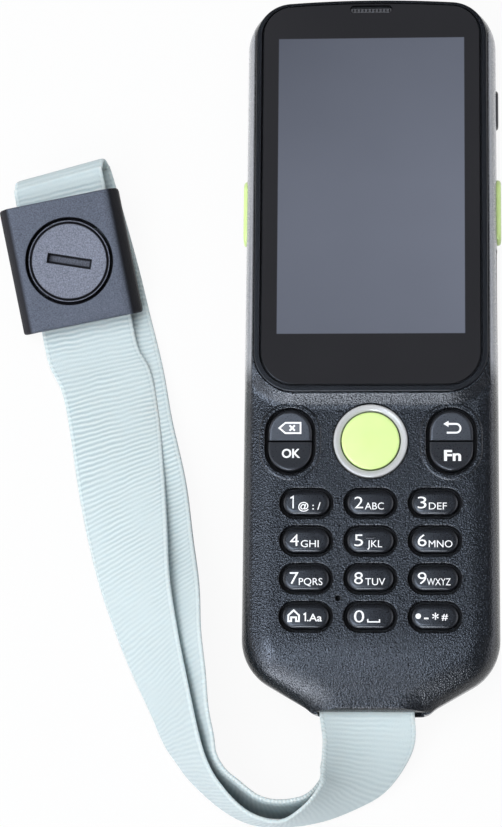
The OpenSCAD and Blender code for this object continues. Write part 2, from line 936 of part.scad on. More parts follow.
module battery_pack() {
    color([0.25, 0.26, 0.28])
        upright(0, bay_low_y + cover_l / 2, cover_t + 0.4, cover_t + 0.4 + battery_t)
            rounded_flat(cover_w - 2 * bay_inset - 1, cover_l - 2 * bay_inset - 1, 2);
}

module battery_cover() {
    color(black)
        difference() {
            union() {
                upright(0, bay_low_y + cover_l / 2, 0, cover_t)
                    rounded_flat(cover_w, cover_l, 4);
                // ribs that locate the cover inside the bay's mouth
                for (sx = [-1, 1])
                    for (y = [-60, -26])
                        upright(sx * (cover_w / 2 - bay_inset - 0.3), y, cover_t - eps, cover_t + 1.2)
                            square([0.4, 10], center = true);
            }
            // finger notch
            translate([0, -cover_top_y - 5, -9.2])
                sphere(10, $fn = 64);
        }
}

module battery_contacts() {
    color([0.75, 0.62, 0.3])
        for (i = [-1.5:1.5])
            upright(i * 3, -cover_top_y - bay_inset - 4, bay_roof_z, board_low_z)
                square([1.4, 2.2], center = true);
}

engine_w = 22;
engine_l = 15;
engine_low_z = 4;
engine_front_y = top_y - 7;
lens_r = 3;
aimer_r = 1.6;

module scan_engine() {
    color([0.2, 0.2, 0.22])
        difference() {
            block([scanner_x - engine_w / 2, engine_front_y - engine_l, engine_low_z],
                [scanner_x + engine_w / 2, engine_front_y, board_low_z - 0.2]);
            for (eye = [[-engine_w / 4, lens_r], [engine_w / 4, aimer_r]])
                translate([scanner_x + eye[0], engine_front_y - 2, window_z])
                    rotate([-90, 0, 0])
                        cylinder(r = eye[1], h = 4);
        }
}

module scan_window_frame() {
    color(soft_black)
        translate([scanner_x, 0, window_z])
            difference() {
                translate([0, top_y - 3.4, 0])
                    rotate([-90, 0, 0])
                        linear_extrude(3.4 + window_proud)
                            rounded_flat(window_w + 4, window_h + 3, 2);
                translate([0, top_y - 5, 0])
                    rotate([-90, 0, 0])
                        linear_extrude(9)
                            rounded_flat(window_w - 1, window_h - 1, 1);
                translate([0, top_y - 1.5, 0])
                    rotate([-90, 0, 0])
                        linear_extrude(9)
                            rounded_flat(window_w, window_h, 1.5);
            }
}

module scan_window() {
    color([0.25, 0.04, 0.05])
        translate([scanner_x, top_y - 1.5, window_z])
            rotate([-90, 0, 0])
                linear_extrude(1.4)
                    rounded_flat(window_w - 0.1, window_h - 0.1, 1.45);
}

module camera_module() {
    color([0.15, 0.15, 0.17])
        translate([camera_x, camera_y, 0]) {
            upright(0, 0, 2.4, board_low_z - 4)
                rounded_flat(9, 9, 1);
            translate([0, 0, 1.6])
                cylinder(r = 3, h = 1);
        }
}

module camera_window() {
    color(smoke)
        translate([camera_x, camera_y, 0.3])
            cylinder(r = camera_d / 2, h = 1.2);
}

module flash_lens() {
    color([0.95, 0.93, 0.8])
        translate([camera_x + 12, camera_y, 0.3])
            cylinder(r = 2, h = 2.4);
}

module loudspeaker() {
    color(metal)
        upright(speaker_x, speaker_y, floor_z + 0.1, floor_z + 5)
            rounded_flat(18, 13, 2);
}

module vibration_motor() {
    color(metal)
        translate([-18, 20, floor_z + 4.1])
            rotate([0, 90, 0])
                cylinder(r = 4, h = 10);
}

// ---- wrist strap ----

web_left = web_x - web_w / 2;
web_right = web_x + web_w / 2;
eye_r = bar_r + 0.05;
eye_mid = eye_r + web_t / 2;
eye_run = 5;
ply_start = -bar_y - eye_run - fit;

module strap_bar() {
    color(metal)
        translate([-slot_w / 2 - 2.9, -bar_y, bar_z])
            rotate([0, 90, 0])
                cylinder(r = bar_r, h = slot_w + 5.8);
}

module strap_eye() {
    color(webbing_grey)
        translate([web_left, -bar_y, bar_z])
            rotate([90, 0, 90])
                linear_extrude(web_w)
                    difference() {
                        union() {
                            circle(eye_r + web_t);
                            translate([-eye_run, -eye_r - web_t])
                                square([eye_run, 2 * (eye_r + web_t)]);
                        }
                        circle(eye_r);
                        translate([-eye_run - 1, -eye_r])
                            square([eye_run + 1, 2 * eye_r]);
                    }
}

// stations of the upper ply from the slot to the lock: each has a point on
// its left or upper edge, and one on its right or lower edge
upper_ply = [
    [[web_left, ply_start, bar_z + eye_mid], [web_right, ply_start, bar_z + eye_mid]],
    [[-12.5, -102.5, 16.5], [11.5, -103.5, 9.5]],
    [[-12.5, -107.5, 19.5], [8.5, -110, 6]],
    [[-12.5, -111.5, 22], [3.5, -116, 3]],
    [[-12.5, -114.5, 24], [-2.5, -119.5, 1.5]],
    [[-16, -120, 25.5], [-13, -123.5, 1]],
    [[-22, -124.5, 25.5], [-24.5, -125, 1]],
    [[-28, -124, 25.5], [-33, -124, 1]],
    [[-33.5, -121, 25], [-40.5, -120, 1]],
    [[-39, -115, 24.5], [-48, -113.5, 1]],
    [[-42.5, -109, 24], [-52, -108.5, 1]],
    [[-45, -101, 23.5], [-55.5, -103.5, 1]],
    [[-48, -88, 22], [-59, -96, 1]],
    [[-51, -74.5, 19.5], [-65, -83.5, 1]],
    [[-53.5, -60, 16.5], [-71, -69, 1]],
    [[-55, -44.5, 11], [-75.5, -54.5, 1.5]],
    [[-56.5, -28.5, 6], [-79.5, -37.5, 2]],
    [[-59, -13, 3], [-83.5, -19.5, 2.5]],
    [[-62, -2, 2.5], [-86, -8, 2.5]]
];

lower_ply = [
    [[web_left, ply_start, bar_z - eye_mid], [web_right, ply_start, bar_z - eye_mid]],
    [[-12.5, -102, 13.5], [11, -102, 6]],
    [[-12, -106.5, 16.5], [8.5, -107, 3]],
    [[-12.5, -110.5, 19], [3.5, -111.5, 1]],
    [[-13, -114, 21], [1.5, -115, 1]],
    [[-16.5, -118, 24.5], [-8, -120, 1]],
    [[-22.5, -119.5, 25.5], [-19, -122.5, 1]],
    [[-28.5, -118.5, 25.5], [-28.5, -122.5, 1]],
    [[-34, -114.5, 25], [-37, -119, 1]],
    [[-37.5, -111.5, 25], [-44.5, -113, 1]],
    [[-40, -107.5, 24.5], [-48.5, -106, 1]],
    [[-41, -102.5, 23.5], [-52, -102, 1]],
    [[-42.5, -95, 22], [-55.5, -97, 1]],
    [[-43.5, -85.5, 20.5], [-58.5, -90, 1]],
    [[-45, -74.5, 17.5], [-62, -81.5, 1]],
    [[-46, -62.5, 12.5], [-66.5, -71, 1]],
    [[-48, -49, 6.5], [-70.5, -58.5, 1]],
    [[-50.5, -32.5, 2.5], [-74, -41, 1]],
    [[-54.5, -16, 1], [-78.5, -23, 1]],
    [[-57.5, -1, 1], [-81.5, -7.5, 1]]
];

// a smooth curve through the stations, with cuts steps between each two
function curve_point(p, q, r, s, t) =
    0.5 * (2 * q + (r - p) * t + (2 * p - 5 * q + 4 * r - s) * t * t
        + (3 * q - p - 3 * r + s) * t * t * t);

function curve_through(list, cuts) =
    let (last = len(list) - 1)
    concat(
        [for (i = [0:last - 1]) for (k = [0:cuts - 1])
            curve_point(list[max(i - 1, 0)], list[i], list[i + 1],
                list[min(i + 2, last)], k / cuts)],
        [list[last]]);

function unit(v) = v / norm(v);

// flat webbing whose middle passes through the stations
module ribbon(stations, cuts) {
    a = curve_through([for (s = stations) s[0]], cuts);
    b = curve_through([for (s = stations) s[1]], cuts);
    n = len(a) - 1;
    points = [for (i = [0:n])
        let (
            mid = (a[i] + b[i]) / 2,
            across = unit(a[i] - b[i]) * web_w / 2,
            ahead = a[min(i + 1, n)] + b[min(i + 1, n)] - a[max(i - 1, 0)] - b[max(i - 1, 0)],
            up = unit(cross(across, ahead)) * web_t / 2
        )
        each [mid + across + up, mid - across + up, mid - across - up, mid + across - up]];
    sides = [for (i = [0:n - 1]) for (k = [0:3])
        let (m = (k + 1) % 4)
        each [[4 * i + k, 4 * i + m, 4 * i + 4 + m],
            [4 * i + k, 4 * i + 4 + m, 4 * i + 4 + k]]];
    polyhedron(points, concat([[3, 2, 1, 0]], sides,
        [[4 * n, 4 * n + 1, 4 * n + 2, 4 * n + 3]]), convexity = 10);
}

module strap_upper_ply() {
    color(webbing_grey)
        ribbon(concat(upper_ply, lock_run), 2);
}

module strap_lower_ply() {
    color(webbing_grey)
        ribbon(concat(lower_ply, under_run), 2);
}

// ---- strap lock: local x across the strap, y towards its free end ----

lock_yaw = 11.4;
lock_pitch = 12;
lock_at = [-82.5, 27.5, 8];

module at_lock() {
    translate(lock_at)
        rotate([lock_pitch, 0, lock_yaw])
            children();
}

// a point given in the lock's own directions
function from_lock(p) =
    let (
        y1 = p[1] * cos(lock_pitch) - p[2] * sin(lock_pitch),
        z1 = p[1] * sin(lock_pitch) + p[2] * cos(lock_pitch)
    )
    lock_at + [p[0] * cos(lock_yaw) - y1 * sin(lock_yaw),
        p[0] * sin(lock_yaw) + y1 * cos(lock_yaw), z1];

channel_mid = 0;
channel_h = web_t + 2 * slide_fit;
base_low = channel_mid - channel_h / 2 - 1.6;
lock_top = base_low + lock_h;
run_start = -26;
loop_y = 20.5;
loop_r = 3.6;
under_x = 5.5;

// the upper ply's straight stretch through the lock
lock_run = [for (y = [run_start, -13, 0, 10, loop_y])
    [from_lock([web_w / 2, y, channel_mid]), from_lock([-web_w / 2, y, channel_mid])]];

// the lower ply's stretch under the lock, up to the end loop
under_run = [for (place = [[under_x, -18, -3.5], [under_x - 1, -6, -6], [under_x - 3, 8, -7],
        [0, loop_y, channel_mid - 2 * loop_r]])
    [for (side = [1, -1])
        from_lock([side * web_w / 2 + place[0], place[1], place[2]])]];

module strap_end_loop() {
    color(webbing_grey)
        at_lock()
            translate([-web_w / 2, loop_y, channel_mid - loop_r])
                rotate([90, 0, 90])
                    linear_extrude(web_w)
                        difference() {
                            circle(loop_r + web_t / 2);
                            circle(loop_r - web_t / 2);
                            translate([-loop_r - web_t, -loop_r - web_t])
                                square([loop_r + web_t, 2 * (loop_r + web_t)]);
                        }
}

body_low = channel_mid - channel_h / 2;
clamp_low = channel_mid + channel_h / 2 + clamp_travel;
clamp_t = 1.2;
disc_low = clamp_low + clamp_t + 0.1;
channel_w = web_w + 2;

module lock_body() {
    top_w = lock_w - 2 * lock_draft;
    color(black)
        at_lock()
            difference() {
                rotate([90, 0, 0])
                    linear_extrude(lock_l, center = true)
                        polygon([[-lock_w / 2, body_low], [lock_w / 2, body_low],
                            [lock_w / 2, body_low + 2.6], [top_w / 2 + 0.7, lock_top - 0.9],
                            [top_w / 2 - 0.9, lock_top], [-top_w / 2 + 0.9, lock_top],
                            [-top_w / 2 - 0.7, lock_top - 0.9], [-lock_w / 2, body_low + 2.6]]);
                block([-channel_w / 2, -lock_l, body_low - 1], [channel_w / 2, lock_l, clamp_low - clamp_travel]);
                upright(0, 0, body_low, disc_low)
                    rounded_flat(channel_w - 3, 16, 1);
                translate([0, 0, disc_low - eps])
                    cylinder(r = disc_d / 2 + disc_gap, h = lock_h);
            }
}

module lock_base() {
    color(black)
        at_lock()
            block([-lock_w / 2, -lock_l / 2, base_low], [lock_w / 2, lock_l / 2, body_low]);
}

module lock_clamp() {
    color(metal)
        at_lock()
            upright(0, 0, clamp_low, clamp_low + clamp_t)
                rounded_flat(channel_w - 3 - 2 * slide_fit, 16 - 2 * slide_fit, 1);
}

coin_turn = -20;

module lock_disc() {
    color(black)
        at_lock()
            difference() {
                translate([0, 0, disc_low])
                    rotate_extrude($fn = 96)
                        polygon([[0, 0], [disc_d / 2, 0], [disc_d / 2, 1.1], [disc_d / 2 - 0.7, 1.1],
                            [disc_d / 2 - 0.7, 1.9], [disc_d / 2, 1.9],
                            [disc_d / 2, lock_top - disc_low - 0.4],
                            [disc_d / 2 - 0.5, lock_top - disc_low - 0.1], [0, lock_top - disc_low - 0.1]]);
                rotate([0, 0, coin_turn])
                    upright(0, 0, lock_top - coin_deep, lock_top + 1)
                        rounded_flat(coin_l, coin_w, 0.4);
            }
}

module lock_seal() {
    color(soft_black)
        at_lock()
            translate([0, 0, disc_low + 1.5])
                rotate_extrude($fn = 96)
                    translate([disc_d / 2 - 0.32, 0])
                        circle(0.34, $fn = 24);
}

// ---- one line per node ----

front_housing();
rear_housing();
housing_seal();
housing_screws();
screen_bezel();
display_gasket();
cover_glass();
lcd_module();
earpiece_mesh();
earpiece_speaker();
keypad_mat();
dome_sheet();
keypad_board();
for (row = [0:3])
    for (column = [0:2])
        number_key(row, column);
split_key(-1, 1);  // key_back
split_key(-1, -1);  // key_ok
split_key(1, 1);  // key_return
split_key(1, -1);  // key_fn
scan_key();
scan_key_ring();
left_trigger();
right_trigger();
power_button();
side_switches();
port_cover();
port_cover_pin();
usb_socket();
main_board();
battery_pack();
battery_cover();
battery_contacts();
scan_engine();
scan_window();
scan_window_frame();
camera_module();
camera_window();
flash_lens();
loudspeaker();
vibration_motor();
strap_bar();
strap_eye();
strap_upper_ply();
strap_lower_ply();
strap_end_loop();
lock_body();
lock_base();
lock_disc();
lock_seal();
lock_clamp();
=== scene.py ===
"""Portable barcode data terminal with its wrist strap and strap lock.

Lengths in the code are millimetres and angles degrees, unless a name says otherwise.
The shells, keys and lock are solids that rise from a flat outline in levels, the strap
is one ribbed ribbon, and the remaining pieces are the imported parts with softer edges.
"""
import json
import math

import bmesh
import bpy
from mathutils import Matrix, Vector
from mathutils.bvhtree import BVHTree


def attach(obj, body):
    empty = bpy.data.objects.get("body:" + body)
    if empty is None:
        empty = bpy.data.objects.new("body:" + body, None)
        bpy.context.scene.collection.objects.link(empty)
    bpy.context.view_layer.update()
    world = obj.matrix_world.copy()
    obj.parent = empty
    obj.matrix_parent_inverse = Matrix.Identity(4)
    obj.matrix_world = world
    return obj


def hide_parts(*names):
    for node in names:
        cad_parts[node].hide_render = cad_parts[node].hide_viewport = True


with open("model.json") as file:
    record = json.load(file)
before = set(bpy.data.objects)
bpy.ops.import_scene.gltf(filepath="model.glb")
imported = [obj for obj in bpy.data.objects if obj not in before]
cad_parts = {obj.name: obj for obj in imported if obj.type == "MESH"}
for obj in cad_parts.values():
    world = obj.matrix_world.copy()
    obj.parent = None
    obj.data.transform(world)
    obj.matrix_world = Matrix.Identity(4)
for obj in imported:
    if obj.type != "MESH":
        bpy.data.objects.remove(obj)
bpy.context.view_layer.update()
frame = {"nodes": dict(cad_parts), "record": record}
record = frame["record"]
MM = 0.001


def placed(name, data):
    piece = bpy.data.objects.new(name, data)
    bpy.context.scene.collection.objects.link(piece)
    return piece


# ---- camera ----

camera = placed("camera", bpy.data.cameras.new("camera"))
camera.data.sensor_width = 36
camera.data.lens = 123.8945
camera.data.clip_start = 0.01
camera.location = (0.019573, -0.1500886, 0.764)
camera.rotation_euler = (0.1772046, 0.0673135, 0.0097489)
bpy.context.scene.camera = camera


# ---- finishes ----


def operator(operation, swapped=False):
    """A method of Value that adds one operation, with its numbers swapped or not."""
    def method(self, *others):
        return self.finish.math(operation, *((*others, self) if swapped else (self, *others)))
    return method


class Value:
    """A number that a material works out, so that masks are written as sums."""

    def __init__(self, finish, socket):
        self.finish = finish
        self.socket = socket

    def math(self, operation, *others):
        return self.finish.math(operation, self, *others)

    __add__ = __radd__ = operator("ADD")
    __mul__ = __rmul__ = operator("MULTIPLY")
    __sub__, __rsub__ = operator("SUBTRACT"), operator("SUBTRACT", True)
    __pow__, __abs__ = operator("POWER"), operator("ABSOLUTE")

    def above(self, edge, soft):
        """0 below the edge and 1 above it, over a soft width."""
        limits = {0: self, 1: edge - soft / 2, 2: edge + soft / 2}
        return self.finish.node("MapRange", limits, interpolation_type="SMOOTHSTEP")

    def clamped(self):
        return self.finish.node("Clamp", {0: self})


class Nodes:
    """A node tree and the one way to add to it."""

    def __init__(self, tree):
        self.tree = tree
        self.tree.nodes.clear()

    def put(self, socket, value):
        if isinstance(value, Value):
            self.tree.links.new(value.socket, socket)
        elif socket.type == "RGBA" and len(value) == 3:
            socket.default_value = (*value, 1)
        else:
            socket.default_value = value

    def node(self, kind, sockets, out=0, **settings):
        """Adds a node with values in its sockets, and gives one of its outputs."""
        made = self.tree.nodes.new("ShaderNode" + kind)
        for name, value in settings.items():
            setattr(made, name, value)
        for name, value in sockets.items():
            self.put(made.inputs[name], value)
        return Value(self, made.outputs[out]) if len(made.outputs) else None

    def math(self, operation, *values, kind="Math", out=0):
        return self.node(kind, dict(enumerate(values)), out, operation=operation)

    def dot(self, one, two):
        return self.math("DOT_PRODUCT", one, two, kind="VectorMath", out="Value")


class Finish(Nodes):
    """A material built round one shader."""

    def __init__(self, name, **constants):
        self.material = bpy.data.materials.new(name)
        self.material.use_nodes = True
        super().__init__(self.material.node_tree)
        self.shader = self.tree.nodes.new("ShaderNodeBsdfPrincipled")
        self.output = self.tree.nodes.new("ShaderNodeOutputMaterial")
        self.tree.links.new(self.shader.outputs["BSDF"], self.output.inputs["Surface"])
        self.set(**constants)

    def set(self, **values):
        for name, value in values.items():
            self.put(self.shader.inputs[name.replace("_", " ")], value)

    def surface(self, colour, roughness, relief, depth, strength=1.0):
        """Colour, roughness and a relief of so many millimetres, and the material they make."""
        bump = {"Height": relief, "Distance": depth * MM, "Strength": strength}
        self.set(Base_Color=colour, Roughness=roughness, Normal=self.node("Bump", bump))
        return self.material

    def place(self):
        return self.node("TexCoord", {}, "Object")

    def axes(self, where=None):
        where = where or self.place()
        return [self.node("SeparateXYZ", {0: where}, axis) for axis in range(3)]

    def noise(self, per_mm, detail=2.0, rough=0.5, where=None, stretch=None):
        """Noise from 0 to 1 with so many cells to the millimetre."""
        where = where or self.place()
        if stretch:
            where = self.node("Mapping", {"Vector": where, "Scale": stretch})
        sockets = {"Vector": where, "Scale": per_mm / MM, "Detail": detail, "Roughness": rough}
        return self.node("TexNoise", sockets)

    def cells(self, per_mm):
        """Distance from the middle of each cell, with so many cells to the millimetre."""
        return self.node("TexVoronoi", {"Vector": self.place(), "Scale": per_mm / MM})

    def mix(self, amount, one, two):
        return self.node("Mix", {0: amount, 6: one, 7: two}, 2, data_type="RGBA")


def tinted(colour, share):
    return tuple(part * share for part in colour)


def moulded(name, colour, roughness, grain, depth, level=0.5, fleck=0.0, speckle=0.2, patch=None,
        calm=None):
    """Moulded plastic: a fine spark-eroded grain over a slow change of tone. A patch, found by
    its own function, takes another colour as painted light: a painted highlight on the housing's
    shoulders, painted shade on the lock and its knob. A calm part glints less."""
    finish = Finish(name, Specular_IOR_Level=level, Coat_Roughness=0.27)
    slow = finish.noise(0.06, 3)
    fine = finish.noise(grain, 2, 0.6)
    pits = finish.cells(grain * 0.8)
    peaks = ((fine - 0.5) * 2.4 + 0.5).clamped()
    dull, bright = tinted(colour, 1 - speckle), tinted(colour, 1 + speckle)
    tone = finish.mix(slow * 0.3 + peaks * 0.7, dull, bright)
    # The patch lays painted light over the tone: a highlight on the housing, shade on the lock.
    if patch:
        find, other = patch
        tone = finish.mix(find(finish), tone, other)
    if fleck:
        glints = ((fine - 0.5) * 5 + 0.5).clamped() * fleck
        finish.set(Coat_Weight=glints * (1 - calm(finish) * 0.65))
    uneven = (fine - 0.5) * 0.3 + slow * 0.08 + (roughness - 0.04)
    return finish.surface(tone, uneven, fine * 0.4 + pits * 0.8, depth)


def shoulders(finish):
    """Painted highlight on the housing beside the screen, where its sides catch the light."""
    x, y, z = finish.axes()
    beside = abs(x).above(31.7 * MM, 0.5 * MM)
    return beside * y.above(-6 * MM, 9 * MM) * z.above(14 * MM, MM)


def outer_face(finish):
    """The outer edges of the keypad face, the neck, and the right side of the chin."""
    x, y = finish.axes()[:2]
    edge = abs(x).above(28 * MM, 3 * MM) * (1 - y.above(-14 * MM, 8 * MM))
    neck = 1 - y.above(-92 * MM, 4 * MM)
    chin = x.above(16 * MM, 9 * MM) * (1 - y.above(-81 * MM, 6 * MM))
    return edge.math("MAXIMUM", neck).math("MAXIMUM", chin)


def lock_axes(finish, turn=0):
    """Distances in millimetres from the middle of the lock, along its own axes."""
    offset = finish.math("SUBTRACT", finish.place(), lock_at * MM, kind="VectorMath")
    along = lock_turn @ Matrix.Rotation(math.radians(turn), 4, "Z")
    return [finish.dot(offset, along.col[axis].xyz) * 1000 for axis in (0, 1)]


def lock_shade(finish):
    """Painted shade on the rounded sides of the lock, and in the well of its disc."""
    x, y = lock_axes(finish)
    side = abs(x).above(lock_width / 2 - 2.6, 1.3)
    well = 1 - (x * x + y * y).math("SQRT").above(well_radius + 0.1, 0.08)
    return side.math("MAXIMUM", well)


def knob_shade(finish):
    """Painted shade: the groove round the knob, its outer wall, and the edges of its coin slot."""
    x, y = lock_axes(finish)
    radius = (x * x + y * y).math("SQRT")
    groove = radius.above(10.15, 0.06) * (1 - radius.above(10.78, 0.06))
    wall = radius.above(11.05, 0.04)
    a, b = lock_axes(finish, slot_turn)
    inside = (1 - abs(a).above(6.1, 0.1)) * (1 - abs(b).above(1.4, 0.1))
    middle = (1 - a.above(5.5, 0.3)) * a.above(-5.0, 3.0) * (1 - abs(b).above(0.75, 0.3))
    return groove.math("MAXIMUM", wall).math("MAXIMUM", inside * (1 - middle * 0.5))


def metal(name, colour, roughness, lines=(1, 1, 1)):
    """Bare metal with fine drawn lines and slight staining."""
    finish = Finish(name, Metallic=1.0)
    brushed = finish.noise(1.2, 3, 0.6, stretch=lines)
    stain = finish.noise(0.15, 2)
    tone = finish.mix(stain * 0.7, colour, tinted(colour, 0.75))
    uneven = brushed * 0.18 + stain * 0.1 + (roughness - 0.14)
    return finish.surface(tone, uneven, brushed, 0.01)


def glossy(name, colour, roughness, coat=0.6, level=0.5):
    """Smooth coated plastic with a trace of orange peel."""
    finish = Finish(name, Coat_Weight=coat, Coat_Roughness=0.08, Specular_IOR_Level=level)
    peel = finish.noise(0.25, 2)
    dust = finish.noise(1.4, 3, 0.7)
    tone = finish.mix(peel, tinted(colour, 0.9), colour)
    return finish.surface(tone, dust * 0.1 + (roughness - 0.05), peel, 0.02)


def board_finish():
    """Circuit board: solder mask with copper tracks showing through."""
    finish = Finish("green solder mask", Coat_Weight=0.4)
    x, y = finish.axes()[:2]
    drift = finish.noise(0.12, 1)
    across, along = (x * 900 + drift * 3).math("SINE"), (y * 700 + drift * 4).math("SINE")
    tracks = (across * along).above(0.2, 0.2)
    tone = finish.mix(tracks, (0.008, 0.09, 0.04), (0.02, 0.17, 0.07))
    return finish.surface(tone, tracks * 0.15 + 0.3, tracks, 0.03)


def display_finish():
    """Cover glass: dark printed border, and the off display's grey under a painted reflection."""
    finish = Finish("cover glass", Roughness=0.07, Specular_IOR_Level=0.32)
    x, y = finish.axes()[:2]
    lit_half, lit_low, lit_high, soft = 25.0 * MM, 3.8 * MM, 85.3 * MM, 0.25 * MM
    beside, over = abs(x).above(lit_half, soft), y.above(lit_high, soft)
    inside = y.above(lit_low, soft) * (1 - beside) * (1 - over)
    # Painted reflection on the display: darker towards the left, the top and the bottom.
    left = (x * -14 + 0.35).clamped()
    top = ((y - 0.045) * 16).clamped()
    low = ((0.03 - y) * 14).clamped()
    cloud = finish.noise(0.03, 2)
    painted_reflection = (left * 0.35 + top * 0.5 + low * 0.3 + cloud * 0.2).clamped()
    display = finish.mix(painted_reflection, (0.142, 0.155, 0.196), (0.058, 0.064, 0.083))
    border = finish.mix(cloud, (0.0185, 0.0185, 0.0210), (0.0245, 0.0245, 0.0275))
    finish.set(Base_Color=finish.mix(inside, border, display))
    return finish.material


def wave(value, pitch, kind="COSINE"):
    return (value * (2 * math.pi / pitch)).math(kind)


def webbing_finish():
    """Ribbed woven tape. Its map holds millimetres: across from the middle, and along."""
    finish = Finish("grosgrain webbing", Sheen_Weight=0.12, Sheen_Roughness=0.4,
        Specular_IOR_Level=0.2, Subsurface_Weight=0.35, Subsurface_Radius=(0.8, 1.0, 1.1),
        Subsurface_Scale=1.6 * MM)
    where = finish.node("UVMap", {}, uv_map="tape")
    across, along = finish.axes(where)[:2]
    rib_pitch, end_pitch, half = 1.3, 0.42, 12.5
    broad = finish.noise(0.07 * MM, 1.0, where=where)
    drift = finish.noise(0.16 * MM, 2.0, where=where)
    fibre = finish.noise(2.6 * MM, 3.0, 0.7, where)
    wander = along + (drift - 0.5) * 1.1
    rib = wave(wander, rib_pitch) * 0.5 + 0.5
    ends = wave(across, end_pitch) * 0.5 + 0.5
    edge = abs(across)
    selvedge = edge.above(half - 0.9, 0.4)
    bead = wave(along, rib_pitch, "SINE") * 0.5 + 0.5
    groove = edge.above(half - 1.3, 0.2) * (1 - edge.above(half - 0.95, 0.2))
    folded = lock_axes(finish)[1].above(20.0, 1.5)
    bent = 1 - finish.axes()[1].above(-52 * MM, 44 * MM)
    strength = ((broad - 0.5) * 2.2 + 0.75).clamped() * (1 - folded * 0.75) * (1 - bent * 0.6)
    ribs = (rib ** 0.7) * strength
    relief = (ribs * 0.6 + ends * 0.05 + fibre * 0.3) * (1 - selvedge)
    relief = relief + selvedge * (bead * 0.6 + fibre * 0.4) - groove * (bead * 0.15)
    light, dark, pale = (0.665, 0.740, 0.750), (0.370, 0.465, 0.500), (0.650, 0.720, 0.730)
    tone = (rib * strength * 0.8 + fibre * 0.4 + (1 - strength) * 0.45 - 0.05).clamped()
    cloth = finish.mix(tone, dark, light)
    cloth = finish.mix(selvedge * 0.5, cloth, pale)
    cloth = finish.mix(groove * bead * (0.22 - folded * 0.15), cloth, (0.25, 0.34, 0.37))
    return finish.surface(cloth, fibre * 0.2 + 0.62, relief, 0.20, 0.9)


def mesh_finish():
    """Punched cover of the earpiece: painted shade in a row of holes and along its top edge."""
    finish = Finish("punched mesh", Specular_IOR_Level=0.3)
    x, y = finish.axes()[:2]
    pitch, row, edge = 0.98 * MM, 93.25 * MM, 93.75 * MM
    # Painted shade: the holes and the strip along the top edge are dark.
    painted_hole_shade = (wave(x, pitch) - abs(y - row) * 1800).above(0.15, 0.5)
    dark = painted_hole_shade.math("MAXIMUM", y.above(edge, 0.2 * MM))
    tone = finish.mix(dark, (0.070, 0.070, 0.076), (0.001, 0.001, 0.001))
    return finish.surface(tone, dark * 0.2 + 0.4, 1 - dark, 0.08)


def floor_finish():
    """White table that keeps a soft shadow and meets the white background."""
    finish = Finish("white table", Base_Color=(0.66, 0.67, 0.68), Roughness=0.9,
        Specular_IOR_Level=0.1)
    lit = Value(finish, finish.shader.outputs["BSDF"])
    for ray, share, level in (("Is Camera Ray", 0.93, 1.0), ("Is Glossy Ray", 0.6, 1.6)):
        seen = finish.node("LightPath", {}, ray) * share
        white = finish.node("Emission", {"Color": (1, 1, 1), "Strength": level})
        lit = finish.node("MixShader", {0: seen, 1: lit, 2: white})
    finish.put(finish.output.inputs["Surface"], lit)
    return finish.material


lock_width, lock_length, lock_low = 33.0, 33.6, -0.9
lock_yaw, lock_pitch = math.radians(11.4), math.radians(12)
lock_at = Vector((-82.5, 27.5, 8))
lock_turn = Matrix.Rotation(lock_yaw, 4, "Z") @ Matrix.Rotation(lock_pitch, 4, "X")
well_radius, slot_turn = 11.87, -20

# The housing's shoulders beside the screen take a light grey: a painted highlight.
shell = moulded("charcoal shell", (0.0054, 0.0064, 0.0084), 0.27, 2.7, 0.12, 0.45, fleck=1.0,
    speckle=0.25, patch=(shoulders, (0.275, 0.282, 0.305)), calm=outer_face)
finishes = {
    "housing": shell,
    "trim": moulded("black trim", (0.006, 0.0065, 0.008), 0.32, 4.0, 0.006, 0.45),
    "seal_rubber": moulded("black rubber", (0.012, 0.012, 0.013), 0.62, 3.0, 0.02, 0.3),
    "steel": metal("drawn steel", (0.60, 0.61, 0.63), 0.34, (0.1, 1, 1)),
    "cover_glass": display_finish(),
    "display": glossy("display glass", (0.13, 0.14, 0.16), 0.2),
    "mesh": mesh_finish(),
    "dome_film": glossy("dome film", (0.55, 0.52, 0.40), 0.35, 0.3),
    "board": board_finish(),
    "key_grey": moulded("satin key", (0.0120, 0.0135, 0.0170), 0.31, 3.4, 0.006, 0.5, speckle=0.08),
    "scan_lime": glossy("lime key", (0.67, 0.87, 0.33), 0.38, 0.25),
    "ring_silver": glossy("silver lacquer", (0.50, 0.51, 0.52), 0.3, 0.5),
    "button_black": moulded("satin black", (0.014, 0.014, 0.017), 0.36, 3.4, 0.008, 0.45),
    "battery": moulded("battery wrap", (0.05, 0.052, 0.058), 0.4, 1.2, 0.01),
    "contact_gold": metal("plated contact", (0.83, 0.62, 0.25), 0.3),
    "module_black": moulded("module black", (0.016, 0.016, 0.019), 0.42, 3.0, 0.01),
    "scan_red": glossy("dark red window", (0.055, 0.004, 0.006), 0.12, 1.0),
    "flash": glossy("clear flash lens", (0.80, 0.76, 0.58), 0.2, 1.0),
    "webbing": webbing_finish(),
    # The lock's rounded sides and the well of its disc are darkened as painted shade.
    "lock_shell": moulded("satin lock", (0.100, 0.114, 0.150), 0.5, 2.6, 0.04, 0.06, speckle=0.45,
        patch=(lock_shade, (0.012, 0.012, 0.016))),
    # The knob's groove, outer wall and coin slot are darkened as painted shade.
    "lock_knob": moulded("grained lock knob", (0.168, 0.183, 0.232), 0.5, 2.6, 0.045, 0.10,
        speckle=0.55, patch=(knob_shade, (0.008, 0.008, 0.010))),
}
split_grey = moulded("satin split key", (0.0205, 0.0225, 0.0275), 0.31, 3.4, 0.006, 0.5,
    speckle=0.08)
legend_white = glossy("legend ink", (0.93, 0.94, 0.96), 0.5, 0.0, 0.3)
legend_grey = glossy("grey legend ink", (0.13, 0.14, 0.16), 0.5, 0.0, 0.3)
camera_glass = glossy("camera glass", (0.006, 0.006, 0.008), 0.07, 1.0)

